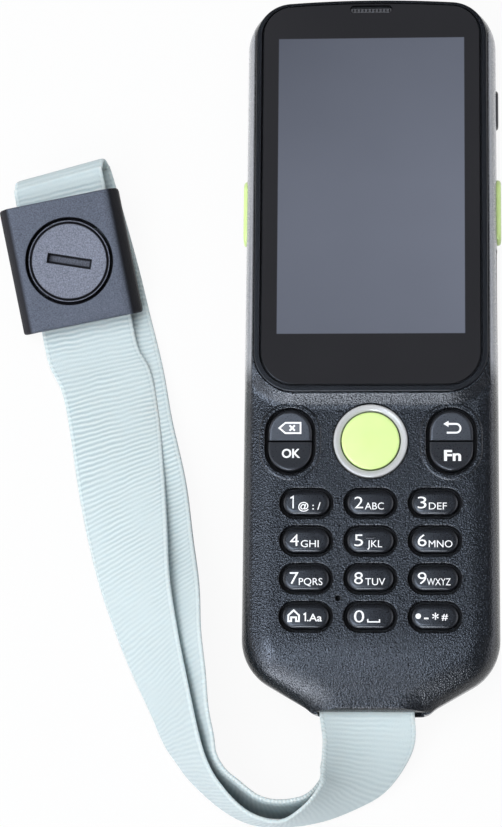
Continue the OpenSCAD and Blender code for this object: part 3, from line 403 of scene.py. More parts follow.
slot_of = {part["node"]: part["material_slot"] for part in record["subparts"]}
bodies = record["behaviour"]["bodies"].items()
body_of = {node: body for body, nodes in bodies for node in nodes}


# ---- making pieces ----


def let_go():
    active = bpy.context.view_layer.objects.active
    if active is not None and active.mode != "OBJECT":
        bpy.ops.object.mode_set(mode="OBJECT")
    bpy.ops.object.select_all(action="DESELECT")


def take(piece):
    let_go()
    bpy.context.view_layer.objects.active = piece
    piece.select_set(True)


def edited(piece, **steps):
    """Runs mesh operators, each with its settings, on the whole of a piece."""
    take(piece)
    bpy.ops.object.mode_set(mode="EDIT")
    bpy.ops.mesh.select_all(action="SELECT")
    for operator, settings in steps.items():
        getattr(bpy.ops.mesh, operator)(**settings)
    bpy.ops.object.mode_set(mode="OBJECT")
    return piece


def applied(piece, kind, **settings):
    """Adds a modifier with its settings and applies it."""
    modifier = piece.modifiers.new(kind, kind)
    for name, value in settings.items():
        setattr(modifier, name, value)
    take(piece)
    bpy.ops.object.modifier_apply(modifier=modifier.name)
    return piece


merged = {"threshold": 0.002 * MM}
outwards = {"inside": False}


def face_out(piece):
    """Merges doubled points and turns every face outwards."""
    return edited(piece, remove_doubles=merged, normals_make_consistent=outwards)


def stack(name, outline, levels):
    """A closed solid that rises from a flat outline. Each level is a height and how far
    the outline has moved in by then, and the first rise is straight. The outline is a list
    of points, or a function that gives them for each inset."""
    let_go()
    turn = -1 if levels[-1][0] < levels[0][0] else 1
    shape = outline if callable(outline) else None
    first = shape(levels[0][1]) if shape else outline
    bpy.ops.mesh.primitive_circle_add(vertices=len(first), radius=0.01, fill_type="NGON")
    piece = bpy.context.object
    piece.name = name
    for vertex, (x, y) in zip(piece.data.vertices, first):
        vertex.co = (x * MM, y * MM, turn * levels[0][0] * MM)
    bpy.ops.object.mode_set(mode="EDIT")
    bpy.ops.mesh.select_mode(type="FACE")
    bpy.ops.mesh.select_all(action="SELECT")
    for (z0, in0), (z1, in1) in zip(levels, levels[1:]):
        rise, step = (z1 - z0) * turn * MM, (in1 - in0) * MM
        if shape is None and step > 1e-7:
            bpy.ops.mesh.inset(thickness=step, depth=rise, use_even_offset=True)
            continue
        bpy.ops.mesh.extrude_region_move(TRANSFORM_OT_translate={"value": (0, 0, rise)})
        if shape:
            solid = bmesh.from_edit_mesh(piece.data)
            top = next(face for face in solid.faces if face.select)
            for vertex, (x, y) in zip(top.verts, shape(in1)):
                vertex.co.x, vertex.co.y = x * MM, y * MM
            bmesh.update_edit_mesh(piece.data)
    bpy.ops.object.mode_set(mode="OBJECT")
    if turn < 0:
        piece.data.transform(Matrix.Scale(-1, 4, (0, 0, 1)))
    return face_out(piece)


def prism(name, outline, low, high):
    return stack(name, outline, [(low, 0), (high, 0)])


def slice_at(piece, axis, places, drop=0):
    """Cuts a piece across its X or Y axis at each place. A drop of 1 or -1 leaves out what is
    beyond on that side, and closes the piece there."""
    for place in places:
        point, normal = (place * MM, 0, 0), (drop or 1, 0, 0)
        if axis == "Y":
            point, normal = (0, place * MM, 0), (0, drop or 1, 0)
        ends = bool(drop)
        edited(piece, bisect=dict(plane_co=point, plane_no=normal, clear_outer=ends, use_fill=ends))
    return piece


def shift(piece, move):
    """Moves every point: move takes and gives millimetres."""
    for vertex in piece.data.vertices:
        x, y, z = vertex.co / MM
        vertex.co = Vector(move(x, y, z)) * MM
    piece.data.update()
    return piece


def block(name, low, high):
    (x0, y0, z0), (x1, y1, z1) = low, high
    return prism(name, [(x0, y0), (x1, y0), (x1, y1), (x0, y1)], z0, z1)


def sheet_of(name, corners, faces):
    """A piece made of faces between corners given in millimetres."""
    mesh = bpy.data.meshes.new(name)
    mesh.from_pydata([Vector(corner) * MM for corner in corners], [], faces)
    return placed(name, mesh)


def joined(pieces):
    take(pieces[0])
    for piece in pieces[1:]:
        piece.select_set(True)
    if len(pieces) > 1:
        bpy.ops.object.join()
    return pieces[0]


def carve(piece, *tools, operation="DIFFERENCE"):
    for tool in tools:
        applied(piece, "BOOLEAN", operation=operation, solver="EXACT", object=tool)
        bpy.data.objects.remove(tool)
    return piece


def fused(piece, other):
    return carve(piece, other, operation="UNION")


def copied(piece, name):
    return placed(name, piece.data.copy())


def turned(piece, angle, axis="X"):
    piece.data.transform(Matrix.Rotation(math.radians(angle), 4, axis))
    return piece


def moved(piece, x, y, z):
    piece.data.transform(Matrix.Translation((x * MM, y * MM, z * MM)))
    return piece


def to_side(piece, y, side=1):
    """Lays an upright piece into its place in a side wall."""
    moved(turned(piece, 90, "Y"), 0, y, seam_z)
    if side < 0:
        piece.data.transform(Matrix.Scale(-1, 4, (1, 0, 0)))
        face_out(piece)
    return piece


def dress(piece, *nodes, body=None, slot=None, finish=None, smooth=32, weigh=True):
    """Shades a finished piece and hangs it on its body, in place of its nodes."""
    body, slot = body or body_of[nodes[0]], slot or slot_of[nodes[0]]
    take(piece)
    bpy.ops.object.shade_smooth_by_angle(angle=math.radians(smooth))
    if weigh:
        applied(piece, "WEIGHTED_NORMAL", keep_sharp=True, weight=60)
    piece.data.materials.clear()
    piece.data.materials.append(finish or finishes[slot])
    if nodes:
        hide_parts(*nodes)
    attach(piece, body)
    return piece


def eased(node, width, segments=2, finish=None):
    """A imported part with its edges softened."""
    piece = copied(frame["nodes"][node], node + ".eased")
    edited(piece, remove_doubles=merged, dissolve_limited={"angle_limit": math.radians(0.6)})
    applied(piece, "BEVEL", width=width * MM, segments=segments, limit_method="ANGLE",
        angle_limit=math.radians(35))
    return dress(piece, node, finish=finish)


# ---- outlines ----


def arc(centre, radius, start, end, steps):
    points = []
    for step in range(steps + 1):
        angle = math.radians(start + (end - start) * step / steps)
        points.append((centre[0] + radius * math.cos(angle), centre[1] + radius * math.sin(angle)))
    return points


def both_sides(right):
    """A right half, listed downwards from the top centre, as a whole anticlockwise outline."""
    left = [(-x, y) for x, y in right[1:] if x > 0]
    return left + right[::-1]


def pill(width, length, centre=(0, 0), steps=20):
    radius = min(width, length) / 2
    run_x, run_y = max(0, width / 2 - radius), max(0, length / 2 - radius)
    if run_x >= run_y:
        ends = arc((run_x, 0), radius, -90, 90, steps) + arc((-run_x, 0), radius, 90, 270, steps)
    else:
        ends = arc((0, run_y), radius, 0, 180, steps) + arc((0, -run_y), radius, 180, 360, steps)
    return [(x + centre[0], y + centre[1]) for x, y in ends]


def disc(radius, centre=(0, 0), steps=96):
    return arc(centre, radius, 0, 360 * (steps - 1) / steps, steps - 1)


def rounded(width, length, radius, centre=(0, 0), steps=8):
    x, y = width / 2 - radius, length / 2 - radius
    corners = []
    for quarter, middle in enumerate([(x, -y), (x, y), (-x, y), (-x, -y)]):
        corners += arc(middle, radius, 90 * quarter - 90, 90 * quarter, steps)
    return [(a + centre[0], b + centre[1]) for a, b in corners]


crown_radius, crown_top = 330.0, 97.0
head_half, grip_half = 33.6, 34.0
corner_radius, foot_radius, foot_y = 13.0, 14.0, 77.0
slant, slant_length, neck_radius, neck_tip = 60.0, 10.5, 10.0, 3.2
seam_z, face_z = 15.5, 22.0
front_end, rear_end = 95.9, 96.5


def crown_corner(half, radius, crown, middle):
    """Centre of a corner that meets a crowned end and a side, and its direction there."""
    x = half - radius
    y = middle + math.sqrt((crown - radius) ** 2 - x * x)
    return (x, y), math.degrees(math.atan2(y - middle, x))


def housing_outline(end, inset=0.0):
    """Outline of the terminal, moved in. The strap end is cut straight across the neck, and
    moves in by less."""
    middle = crown_top - crown_radius
    corner, meet = crown_corner(head_half, corner_radius, crown_radius, middle)
    foot = (grip_half - foot_radius, -foot_y)
    turn = math.radians(slant)
    reach = foot_radius + neck_radius
    neck = (
        foot[0] + reach * math.cos(turn) - slant_length * math.sin(turn),
        foot[1] - reach * math.sin(turn) - slant_length * math.cos(turn),
    )
    tip_radius = max(0.3, neck_tip - 0.45 * inset)
    hollow = neck_radius + inset + tip_radius
    rise = -end + 0.15 * inset + tip_radius - neck[1]
    tip = (neck[0] - math.sqrt(hollow * hollow - rise * rise), neck[1] + rise)
    touch = math.degrees(math.atan2(rise, tip[0] - neck[0]))
    right = (
        arc((0, middle), crown_radius - inset, 90, meet, 10)[:-1]
        + arc(corner, corner_radius - inset, meet, 0, 20)
        + arc(foot, foot_radius - inset, 0, -slant, 16)
        + arc(neck, neck_radius + inset, 180 - slant, touch, 8)[:-1]
        + arc(tip, tip_radius, touch - 180, -90, 6)
    )
    return both_sides(right)


rim_half, rim_radius, rim_low_radius = 31.15, 9.8, 10.9
rim_top, rim_low = 96.0, -11.9
rim_edge, glass_edge = 1.6, 2.1
display_edge = rounded(55, 90.5, 2, (0, 43.05))


def rim_outline(grow):
    """Outline of the screen rim, moved out. Moved in, its crown moves by less."""
    middle = crown_top - crown_radius
    crown = rim_top - middle + (grow if grow > 0 else 0.5 * grow)
    corner, meet = crown_corner(rim_half + grow, rim_radius + grow, crown, middle)
    low_centre = (rim_half - rim_low_radius, rim_low + rim_low_radius)
    right = (
        arc((0, middle), crown, 90, meet, 10)[:-1]
        + arc(corner, rim_radius + grow, meet, 0, 18)
        + arc(low_centre, rim_low_radius + grow, 0, -90, 20)
    )
    return both_sides(right + [(0, rim_low - grow)])


def side_at(y):
    """Half width of the terminal beside a given place along it."""
    corner_y = crown_corner(head_half, corner_radius, crown_radius, crown_top - crown_radius)[0][1]
    return head_half + (grip_half - head_half) * (corner_y - y) / (corner_y + foot_y)


def rounding(start, height, depth, power, steps):
    """Levels of a rounded edge: from a straight side at start, up by height and in by depth."""
    levels = []
    for step in range(1, steps + 1):
        turn = math.radians(90 * step / steps)
        up, across = math.sin(turn) ** (2 / power), 1 - math.cos(turn) ** (2 / power)
        levels.append((start + height * up, depth * across))
    return levels


# ---- cutters shared by the two housings ----

key_rows = [-41.4, -51.4, -61.4, -71.4]
key_columns = [-16.9, 0.0, 16.9]
key_places = [(x, y) for y in key_rows for x in key_columns]
key_width, key_length, key_gap = 12.2, 6.2, 0.95
scan_y, split_x = -24.9, 21.3
split_width, split_length, split_gap = 11.5, 16.0, 0.3
trigger_y, power_y, port_y = 38.5, 67.0, 14.7
wall, slide_fit, cavity_end = 2.0, 0.3, -84
key_top, dish_from = face_z + 0.7, 21.2


def side_cutter(name, y, length, height, side=1):
    """A window in the wall for a side key, and the room for its flange behind."""
    wall_x = side_at(y) - wall
    window = prism(name, pill(height + 0.6, length + 0.6), wall_x - 4, wall_x + 6)
    pocket = prism(name + "_pocket", pill(height + 2.2, length + 2.2), wall_x - 4.2, wall_x)
    return to_side(fused(window, pocket), y, side)


def side_cutters():
    port_x = side_at(port_y)
    return joined([
        side_cutter("right_trigger_window", trigger_y, 18, 6.5),
        side_cutter("left_trigger_window", trigger_y, 18, 6.5, -1),
        side_cutter("power_window", power_y, 11, 4.4),
        block("port_recess", (port_x - 4.2, port_y - 13, 11.2), (port_x + 2, port_y + 13, 19.8)),
        block("strap_slot", (-14, -98.5, 6.8), (14, -86.5, 16.2)),
    ])


collar_rise, socket_low = 0.27, 18.4


def flared(name, outline, rise=0):
    """A socket cutter whose mouth is rounded at the surface round it, so far above the face."""
    top = face_z + rise
    return stack(name, outline, [(top + 0.6, 0), (top + 0.02, 0), (top - 0.03, 0.10),
        (top - 0.10, 0.20), (top - 0.22, 0.28), (top - 0.4, 0.31), (socket_low, 0.311)])


# ---- front housing ----

fall_rate, fall_start, fall_bend = 0.0098, 75.8, 13.0
edge_reach, slice_gap = 8.5, 1.4
edge_line = housing_outline(front_end)


def edge_distance(x, y):
    """How far a point is inside the outline, its flat strap end left out."""
    point = Vector((x, y))
    nearest = edge_reach
    for one, two in zip(edge_line, edge_line[1:] + edge_line[:1]):
        one, two = Vector(one), Vector(two)
        run = two - one
        if one.y < -90 and abs(run.x) > 3 * abs(run.y):
            continue
        share = min(1, max(0, (point - one).dot(run) / run.length_squared))
        nearest = min(nearest, (one + run * share - point).length)
    return nearest


def eased_step(value, start, end):
    share = min(1, max(0, (value - start) / (end - start)))
    return share * share * (3 - 2 * share)


ridge_rise = 1.8


def fallen(x, y, z):
    """The shoulders rise to the screen rim, but the ridge before it rises no further. The
    keypad face is crowned at its sides, and falls away towards the strap end."""
    if z < seam_z:
        return x, y, z
    drop = -1.5 * eased_step(y, -11, -3)
    if y < -fall_start:
        run = -fall_start - y
        bend = min(run, fall_bend)
        drop = fall_rate * (2 * run * bend - bend * bend)
    crown = 0.6 * eased_step(-y, 13, 26) + 1.9 * eased_step(-y, 58, 82)
    if crown > 0:
        drop += crown * (1 - edge_distance(x, y) / edge_reach) ** 2
    reach = (z - seam_z) / (face_z - seam_z)
    if drop < 0 and z > face_z:
        reach = 1 - (z - face_z) / ridge_rise
    return x, y, z - drop * reach


def split_pill(side, grow):
    """Outline round both halves of a split key."""
    return pill(split_width + grow, split_length + grow, (side * split_x, scan_y), 28)


def make_front_housing():
    outline = lambda inset: housing_outline(front_end, inset)
    skirt = seam_z + 0.4
    levels = [(seam_z, 0), (skirt, 0)] + rounding(skirt, face_z - skirt, 3.0, 2.3, 9)
    levels += [(face_z, inset) for inset in (3.6, 4.3, 5.1, 6.0, 7.0, 8.5)]
    solid = stack("front_shell", outline, levels)
    steps = [(-1, 0), (0, 0), (0.06, 0.6), (0.2, 1.2), (0.38, 1.65), (1.5, 3.75), (1.72, 4.05),
        (ridge_rise, 4.2)]
    ridge = stack("screen_ridge", lambda inset: rim_outline(4.6 - inset),
        [(face_z + up, inset) for up, inset in steps])
    slice_at(ridge, "X", [rim_half], 1)
    slice_at(ridge, "X", [-rim_half], -1)
    slice_at(ridge, "Y", [rim_low + rim_low_radius], 1)
    fused(solid, ridge)
    steps = [(-0.5, 0), (0.05, 0), (0.17, 0.12), (0.24, 0.32), (collar_rise, 0.62)]
    for side in (-1, 1):
        fused(solid, stack("split_collar", split_pill(side, 2 * key_gap + 3),
            [(face_z + up, inset) for up, inset in steps]))
    slice_at(solid, "Y", [-fall_start - slice_gap * step for step in range(13)])
    slice_at(solid, "Y", [-11.6 + slice_gap * step for step in range(7)])
    shift(solid, fallen)
    cavity = stack("front_cavity", outline, [(seam_z - 1, wall), (seam_z + 0.5, wall),
        (18, wall + 0.2), (19.4, wall + 1)])
    slice_at(cavity, "Y", [cavity_end], -1)
    carve(solid, cavity, prism("rim_seat", rim_outline(0.15), 21, 26),
        prism("display_window", display_edge, 16.4, 22))
    room = 2 * key_gap + 0.62
    mouths = [pill(key_width + room, key_length + room, place) for place in key_places]
    mouths += [disc(9.95 + 0.31, (0, scan_y)), disc(0.95, (-8.5, -66.5), 24)]
    sockets = [flared("socket", mouth) for mouth in mouths]
    sockets += [flared("socket", split_pill(side, room), collar_rise) for side in (-1, 1)]
    carve(solid, joined(sockets), side_cutters())
    dress(solid, "front_housing")


# ---- rear housing ----

bay_low, bay_top = -77.0, -9.0
bay_middle = (bay_low + bay_top) / 2
screw_spots = [(-26, 84), (26, 84), (-24.5, -80.5), (24.5, -80.5)]
camera_x, camera_y = -12.0, 62.0
speaker_x, speaker_y = 13.0, 42.0
scanner_x, window_z = 5.0, 8.5
bar_y, bar_z = -91.0, 11.5


def make_rear_housing():
    outline = lambda inset: housing_outline(rear_end, inset)
    skirt = seam_z - 0.4
    levels = [(seam_z, 0), (skirt, 0)]
    levels += [(skirt - up, side) for up, side in rounding(0, skirt, 5.0, 2.8, 12)] + [(0, 5.8)]
    solid = stack("rear_shell", outline, levels)
    cavity = stack("rear_cavity", outline, [(seam_z + 1, wall), (seam_z, wall), (10, wall + 0.15),
        (6, wall + 0.5), (3.5, wall + 1.2), (2, wall + 3)])
    slice_at(cavity, "Y", [cavity_end], -1)
    carve(cavity, block("bay_walls", (-27, bay_low - 1, 0), (27, bay_top + 1, 11.9)))
    seats = [(rounded(52.3, 68.3, 4.15, (0, bay_middle)), 1.75)]
    seats += [(disc(2.3, spot, 40), 2.8) for spot in screw_spots]
    seats.append((disc(5.15, (camera_x, camera_y), 64), 4))
    seats.append((disc(2.15, (camera_x + 12, camera_y), 40), 4))
    seats += [(pill(1.1, 9, (speaker_x + place * 2.2, speaker_y), 8), 4) for place in range(-3, 4)]
    port_x = side_at(port_y)
    frame_seat = prism("frame_seat", rounded(26.3, 12.3, 2.15), 91, 99)
    usb_window = prism("usb_window", pill(3.6, 9.3), port_x - 13.2, port_x - 3.2)
    bar_hole = prism("bar_hole", disc(1.63, steps=40), -17, 17)
    carve(solid, cavity, joined([prism("seat", outline, -1, top) for outline, top in seats]),
        prism("battery_bay", rounded(47, 63, 2, (0, bay_middle)), 0.5, 10.4),
        prism("contact_window", rounded(14, 3, 0.2, (0, bay_top - 6.5)), 9.4, 13),
        side_cutters(),
        moved(turned(frame_seat, -90), scanner_x, 0, window_z),
        to_side(usb_window, port_y),
        moved(turned(bar_hole, 90, "Y"), 0, bar_y, bar_z))
    dress(solid, "rear_housing")


# ---- screen ----


def make_screen():
    rim = stack("screen_rim", rim_outline(0), [(21, 0), (23.55, 0), (23.75, 0.05), (23.9, 0.16),
        (24, 0.36)])
    pocket = stack("glass_pocket", rim_outline(-rim_edge + 0.15), [(25, 0), (23.98, 0),
        (23.8, 0.12), (23.6, 0.15), (22.4, 0.151)])
    dress(carve(rim, pocket, prism("display_hole", display_edge, 20, 25)), "screen_bezel")
    glass = stack("display_glass", lambda inset: rim_outline(-glass_edge - inset),
        [(22.6, 0), (23.74, 0), (23.79, 0.03), (23.8, 0.09), (23.8, 0.5)])
    notch = prism("earpiece_notch", pill(11.4, 2.2, (0, 93.5)), 22, 25)
    dress(carve(glass, notch), "cover_glass")
    cloth = stack("earpiece_cloth", pill(11.1, 1.9, (0, 93.5)), [(22.4, 0), (23.2, 0),
        (23.35, 0.1), (23.4, 0.3)])
    dress(cloth, "earpiece_mesh")


# ---- keys ----


def inked(points, width, closed=False):
    """A flat line of ink through the points, mitred at its corners, as corners of a strip."""
    count = len(points)
    rows = []
    for index, point in enumerate(points):
        before = points[index - 1] if index or closed else point
        after = points[(index + 1) % count] if index < count - 1 or closed else point
        here = Vector(point)
        one, two = here - Vector(before), Vector(after) - here
        one = one.normalized() if one.length > 0 else two.normalized()
        two = two.normalized() if two.length > 0 else one
        normal = Vector((-(one + two).y, (one + two).x)).normalized()
        reach = width / 2 / max(0.35, normal.dot(Vector((-one.y, one.x))))
        rows.append((here + normal * reach, here - normal * reach))
    corners = [tuple(point) for row in rows for point in row]
    faces = [(2 * i, 2 * i + 1, 2 * i + 3, 2 * i + 2) for i in range(count - 1)]
    if closed:
        faces.append((2 * count - 2, 2 * count - 1, 1, 0))
    return corners, faces


def spot(centre, radius, steps=20):
    return disc(radius, centre, steps), [tuple(range(steps))]


caps = {}


def printed(piece, node, left=0.0, low=0.0, ink=None, lift=0.0):
    """Lays flat ink on a key's top and hangs it on the key's body."""
    key, key_x, key_y = caps[node]
    tree = BVHTree.FromPolygons(
        [vertex.co.copy() for vertex in key.data.vertices],
        [tuple(face.vertices) for face in key.data.polygons],
    )
    edited(piece, quads_convert_to_tris={})
    for vertex in piece.data.vertices:
        x, y = vertex.co.x + (key_x + left) * MM, vertex.co.y + (key_y + low) * MM
        hit = tree.ray_cast(Vector((x, y, 0.05)), Vector((0, 0, -1)))[0]
        vertex.co = (x, y, (hit.z if hit else key_top * MM) + (0.012 + lift) * MM)
    if sum(face.normal.z * face.area for face in piece.data.polygons) < 0:
        piece.data.flip_normals()
    applied(piece, "SOLIDIFY", thickness=0.03 * MM, offset=1)
    dress(piece, body=body_of[node], slot="key_grey", finish=ink or legend_white, weigh=False)


def marks(node, part, *strips, ink=None, lift=0.0):
    """Prints flat strips and spots on a key."""
    corners, faces = [], []
    for strip_corners, strip_faces in strips:
        base = len(corners)
        corners += [(x, y, 0) for x, y in strip_corners]
        faces += [tuple(base + index for index in face) for face in strip_faces]
    printed(sheet_of(f"{node}.{part}", corners, faces), node, ink=ink, lift=lift)


def letters(node, part, text, height, weight, width, left, low):
    """Prints letters on a key. Height is a capital's, and left and low place the left end of
    the baseline from the middle of the key."""
    let_go()
    bpy.ops.object.text_add(location=(0, 0, 0))
    piece = bpy.context.object
    piece.name = f"{node}.{part}"
    piece.data.body = text
    piece.data.size = height / 0.73 * MM
    piece.data.offset = weight * MM
    piece.data.resolution_u = 4
    bpy.ops.object.convert(target="MESH")
    ends = [vertex.co.x for vertex in piece.data.vertices]
    first, last = min(ends), max(ends)
    for vertex in piece.data.vertices:
        vertex.co.x = (vertex.co.x - first) * width * MM / (last - first)
    printed(piece, node, left, low)


def key_levels(top, edge, depth):
    """A cap: straight skirt, rounded shoulder, then a nearly flat top."""
    skirt = top - edge
    return [(cap_low, 0), (skirt, 0)] + rounding(skirt, edge, depth, 2.0, 6) + [(top, depth + 0.25)]


cap_low, baseline, digit_left = 18.9, -1.5, -4.2
key_legends = {
    "key_1": ("@ : /", -2.1, 5.9),
    "key_2": ("ABC", -1.45, 5.0),
    "key_3": ("DEF", -1.55, 4.7),
    "key_4": ("GHI", -1.35, 4.7),
    "key_5": ("JKL", -0.8, 3.9),
    "key_6": ("MNO", -1.6, 6.2),
    "key_7": ("PQRS", -1.8, 6.2),
    "key_8": ("TUV", -1.3, 5.2),
    "key_9": ("WXYZ", -2.1, 6.2),
}


def make_number_keys():
    first = stack("number_key", pill(key_width, key_length, steps=24),
        key_levels(key_top, 0.75, 0.95))
    slice_at(first, "X", [step * 1.05 for step in range(-5, 6)])
    dish = lambda x, y: x * x / 95 + y * y / 60
    shift(first, lambda x, y, z: (x, y, z - dish(x, y) * max(0, z - dish_from) / 1.5))
    for name, (x, y) in zip("1 2 3 4 5 6 7 8 9 home 0 symbols".split(), key_places):
        node = "key_" + name
        key = moved(copied(first, node + ".cap"), x, y, 0)
        if node == "key_5":
            fused(key, stack("nib", rounded(2.5, 0.5, 0.2, (x, y + 0.7)), [(face_z, 0),
                (face_z + 0.82, 0), (face_z + 0.92, 0.14)]))
        caps[node] = dress(key, node), x, y
        print_number_key(node, x)
    bpy.data.objects.remove(first)


def print_number_key(node, x):
    if node in key_legends:
        text, left, width = key_legends[node]
        if node == "key_1":
            marks(node, "digit", inked([(-4.15, 1.2), (-3.45, 1.65), (-3.45, -1.5)], 0.34))
        else:
            start = digit_left - (0.28 if x > 9 else 0)
            letters(node, "digit", node[-1], 3.3, -0.02, 2.3, start, baseline)
        weight = 0.03 if node == "key_1" else 0.0
        letters(node, "letters", text, 1.95, weight, width, left, baseline - 0.3)
    elif node == "key_home":
        house = [(-4.5, 0.25), (-3.1, 1.55), (-1.7, 0.25), (-1.7, -1.3), (-2.45, -1.3),
            (-2.45, -0.3), (-3.75, -0.3), (-3.75, -1.3), (-4.5, -1.3)]
        one = [(-0.5, 0.4), (-0.02, 0.72), (-0.02, -1.32)]
        marks(node, "house", inked(house, 0.46, True), inked(one, 0.36))
        letters(node, "mode", ".Aa", 2.05, 0.03, 3.9, 0.4, -1.32)
    elif node == "key_0":
        letters(node, "digit", "0", 3.4, -0.02, 2.65, digit_left, baseline - 0.1)
        bracket = [(-0.6, -0.75), (-0.6, -1.45), (2.45, -1.45), (2.45, -0.75)]
        marks(node, "space", inked(bracket, 0.34))
    else:
        marks(node, "marks", spot((-4.35, 0.1), 0.72), inked([(-2.85, -0.5), (-1.65, -0.5)], 0.42))
        letters(node, "star", "*", 3.0, 0.04, 1.65, -0.7, -2.0)
        letters(node, "hash", "#", 1.75, 0.03, 1.6, 1.75, -0.85)


def split_outline(inset):
    """The upper half of a split key. Its straight edge hardly moves in."""
    radius = split_width / 2
    low = split_gap / 2 + min(0.12, inset)
    curve = arc((0, split_length / 2 - radius), radius - inset, 0, 180, 40)
    return curve + [(-radius + inset, low), (radius - inset, low)]


def make_split_keys():
    upper = stack("split_key", split_outline, key_levels(face_z + 0.75, 0.6, 0.65))
    slice_at(upper, "Y", [step * 0.85 for step in range(1, 9)])
    lean = lambda x, y: 0.11 * y - 0.62 - x * x / 160
    shift(upper, lambda x, y, z: (x, y, z + lean(x, y) * max(0, z - dish_from) / 1.55))
    lower = turned(copied(upper, "split_key_lower"), 180, "Z")
    for node, model, x in (("key_back", upper, -split_x), ("key_ok", lower, -split_x),
            ("key_return", upper, split_x), ("key_fn", lower, split_x)):
        key = moved(copied(model, node + ".cap"), x, scan_y, 0)
        caps[node] = dress(key, node, finish=split_grey), x, scan_y
        print_split_key(node)
    bpy.data.objects.remove(upper)
    bpy.data.objects.remove(lower)


def print_split_key(node):
    if node == "key_back":
        tag = [(-2.85, 3.5), (-1.25, 4.85), (2.75, 4.85), (2.75, 2.15), (-1.25, 2.15)]
        fill = [(-2.35, 3.5), (-1.1, 4.5), (2.4, 4.5), (2.4, 2.5), (-1.1, 2.5)]
        marks(node, "fill", (fill, [(0, 4, 3, 2, 1)]), ink=legend_grey)
        marks(node, "icon", inked(tag, 0.46, True), lift=0.012)
        for stroke, (low, high) in enumerate([(4.2, 2.8), (2.8, 4.2)]):
            cross = inked([(-0.15, low), (1.25, high)], 0.5)
            marks(node, f"cross{stroke}", cross, lift=0.012)
    elif node == "key_return":
        bend = [(-1.5, 4.5), (1.25, 4.5)] + arc((1.25, 3.35), 1.15, 90, -90, 10) + [(-1.2, 2.2)]
        marks(node, "icon", inked(bend, 0.5))
        marks(node, "head", ([(-2.1, 4.5), (-0.75, 3.7), (-0.75, 5.3)], [(0, 1, 2)]))
    elif node == "key_ok":
        letters(node, "word", "OK", 2.45, 0.09, 4.9, -2.15, -4.45)
    else:
        letters(node, "word", "Fn", 2.95, 0.12, 4.5, -1.95, -5.3)


def make_scan_key():
    top = face_z + 1.1
    key = stack("scan_key.cap", disc(7.65), key_levels(top, 0.5, 0.6) + [(top, 3), (top, 5.5)])
    shift(key, lambda x, y, z: (x, y, z - (x * x + y * y) / 300 * max(0, z - 22) / 1.1))
    dress(moved(key, 0, scan_y, 0), "scan_key")
    ring = stack("scan_ring", disc(9.8), [(19.4, 0), (22.35, 0), (22.65, 0.06), (22.82, 0.2),
        (22.9, 0.42), (22.86, 0.8), (22.72, 1.25), (22.5, 1.62), (22.3, 1.8), (22.1, 1.85)])
    carve(ring, prism("ring_hole", disc(7.95), 18, 24))
    dress(moved(ring, 0, scan_y, 0), "scan_key_ring")


# ---- side keys ----


def make_side_key(node, y, length, height, proud, side=1):
    """A side key with a crowned face on a flange."""
    face_x = side_at(y)
    inner, outer = face_x - wall - slide_fit - 1.2, face_x + proud
    levels = [(inner, 0), (outer - 0.75, 0)]
    levels += rounding(outer - 0.75, 0.75, 0.9, 2.0, 5) + [(outer, 1.2)]
    cap = stack(node + ".cap", pill(height, length), levels)
    fused(cap, prism("flange", pill(height + 1.6, length + 1.6), inner, inner + 1.2))
    dress(to_side(cap, y, side), node)


# ---- strap ----

tape_half, tape_thick = 12.5, 1.2
tape_left, tape_right = -13.5, 11.5
eye_mid, ply_start = 2.25, -96.15

upper_ply = [
    ((tape_left, ply_start, bar_z + eye_mid), (tape_right, ply_start, bar_z + eye_mid)),
    ((-12.5, -102.5, 16.5), (11.5, -103.5, 9.5)),
    ((-12.5, -107.5, 19.5), (8.5, -110, 6)),
    ((-12.5, -111.5, 22), (3.5, -116, 3)),
    ((-12.5, -114.5, 24), (-2.5, -119.5, 1.5)),
    ((-16, -120, 25.5), (-13, -123.5, 1)),
    ((-22, -124.5, 25.5), (-24.5, -125, 1)),
    ((-28, -124, 25.5), (-33, -124, 1)),
    ((-33.5, -121, 25), (-40.5, -120, 1)),
    ((-39, -115, 24.5), (-48, -113.5, 1)),
    ((-42.5, -109, 24), (-52, -108.5, 1)),
    ((-45, -101, 23.5), (-55.5, -103.5, 1)),
    ((-48, -88, 22), (-59, -96, 1)),
    ((-51, -74.5, 19.5), (-65, -83.5, 1)),
    ((-53.5, -60, 16.5), (-71, -69, 1)),
    ((-55, -44.5, 11), (-75.5, -54.5, 1.5)),
    ((-56.5, -28.5, 6), (-79.5, -37.5, 2)),
    ((-58.2, -13, 3), (-82.7, -19.5, 2.5)),
    ((-60.9, -2, 2.5), (-84.9, -8, 2.5)),
]
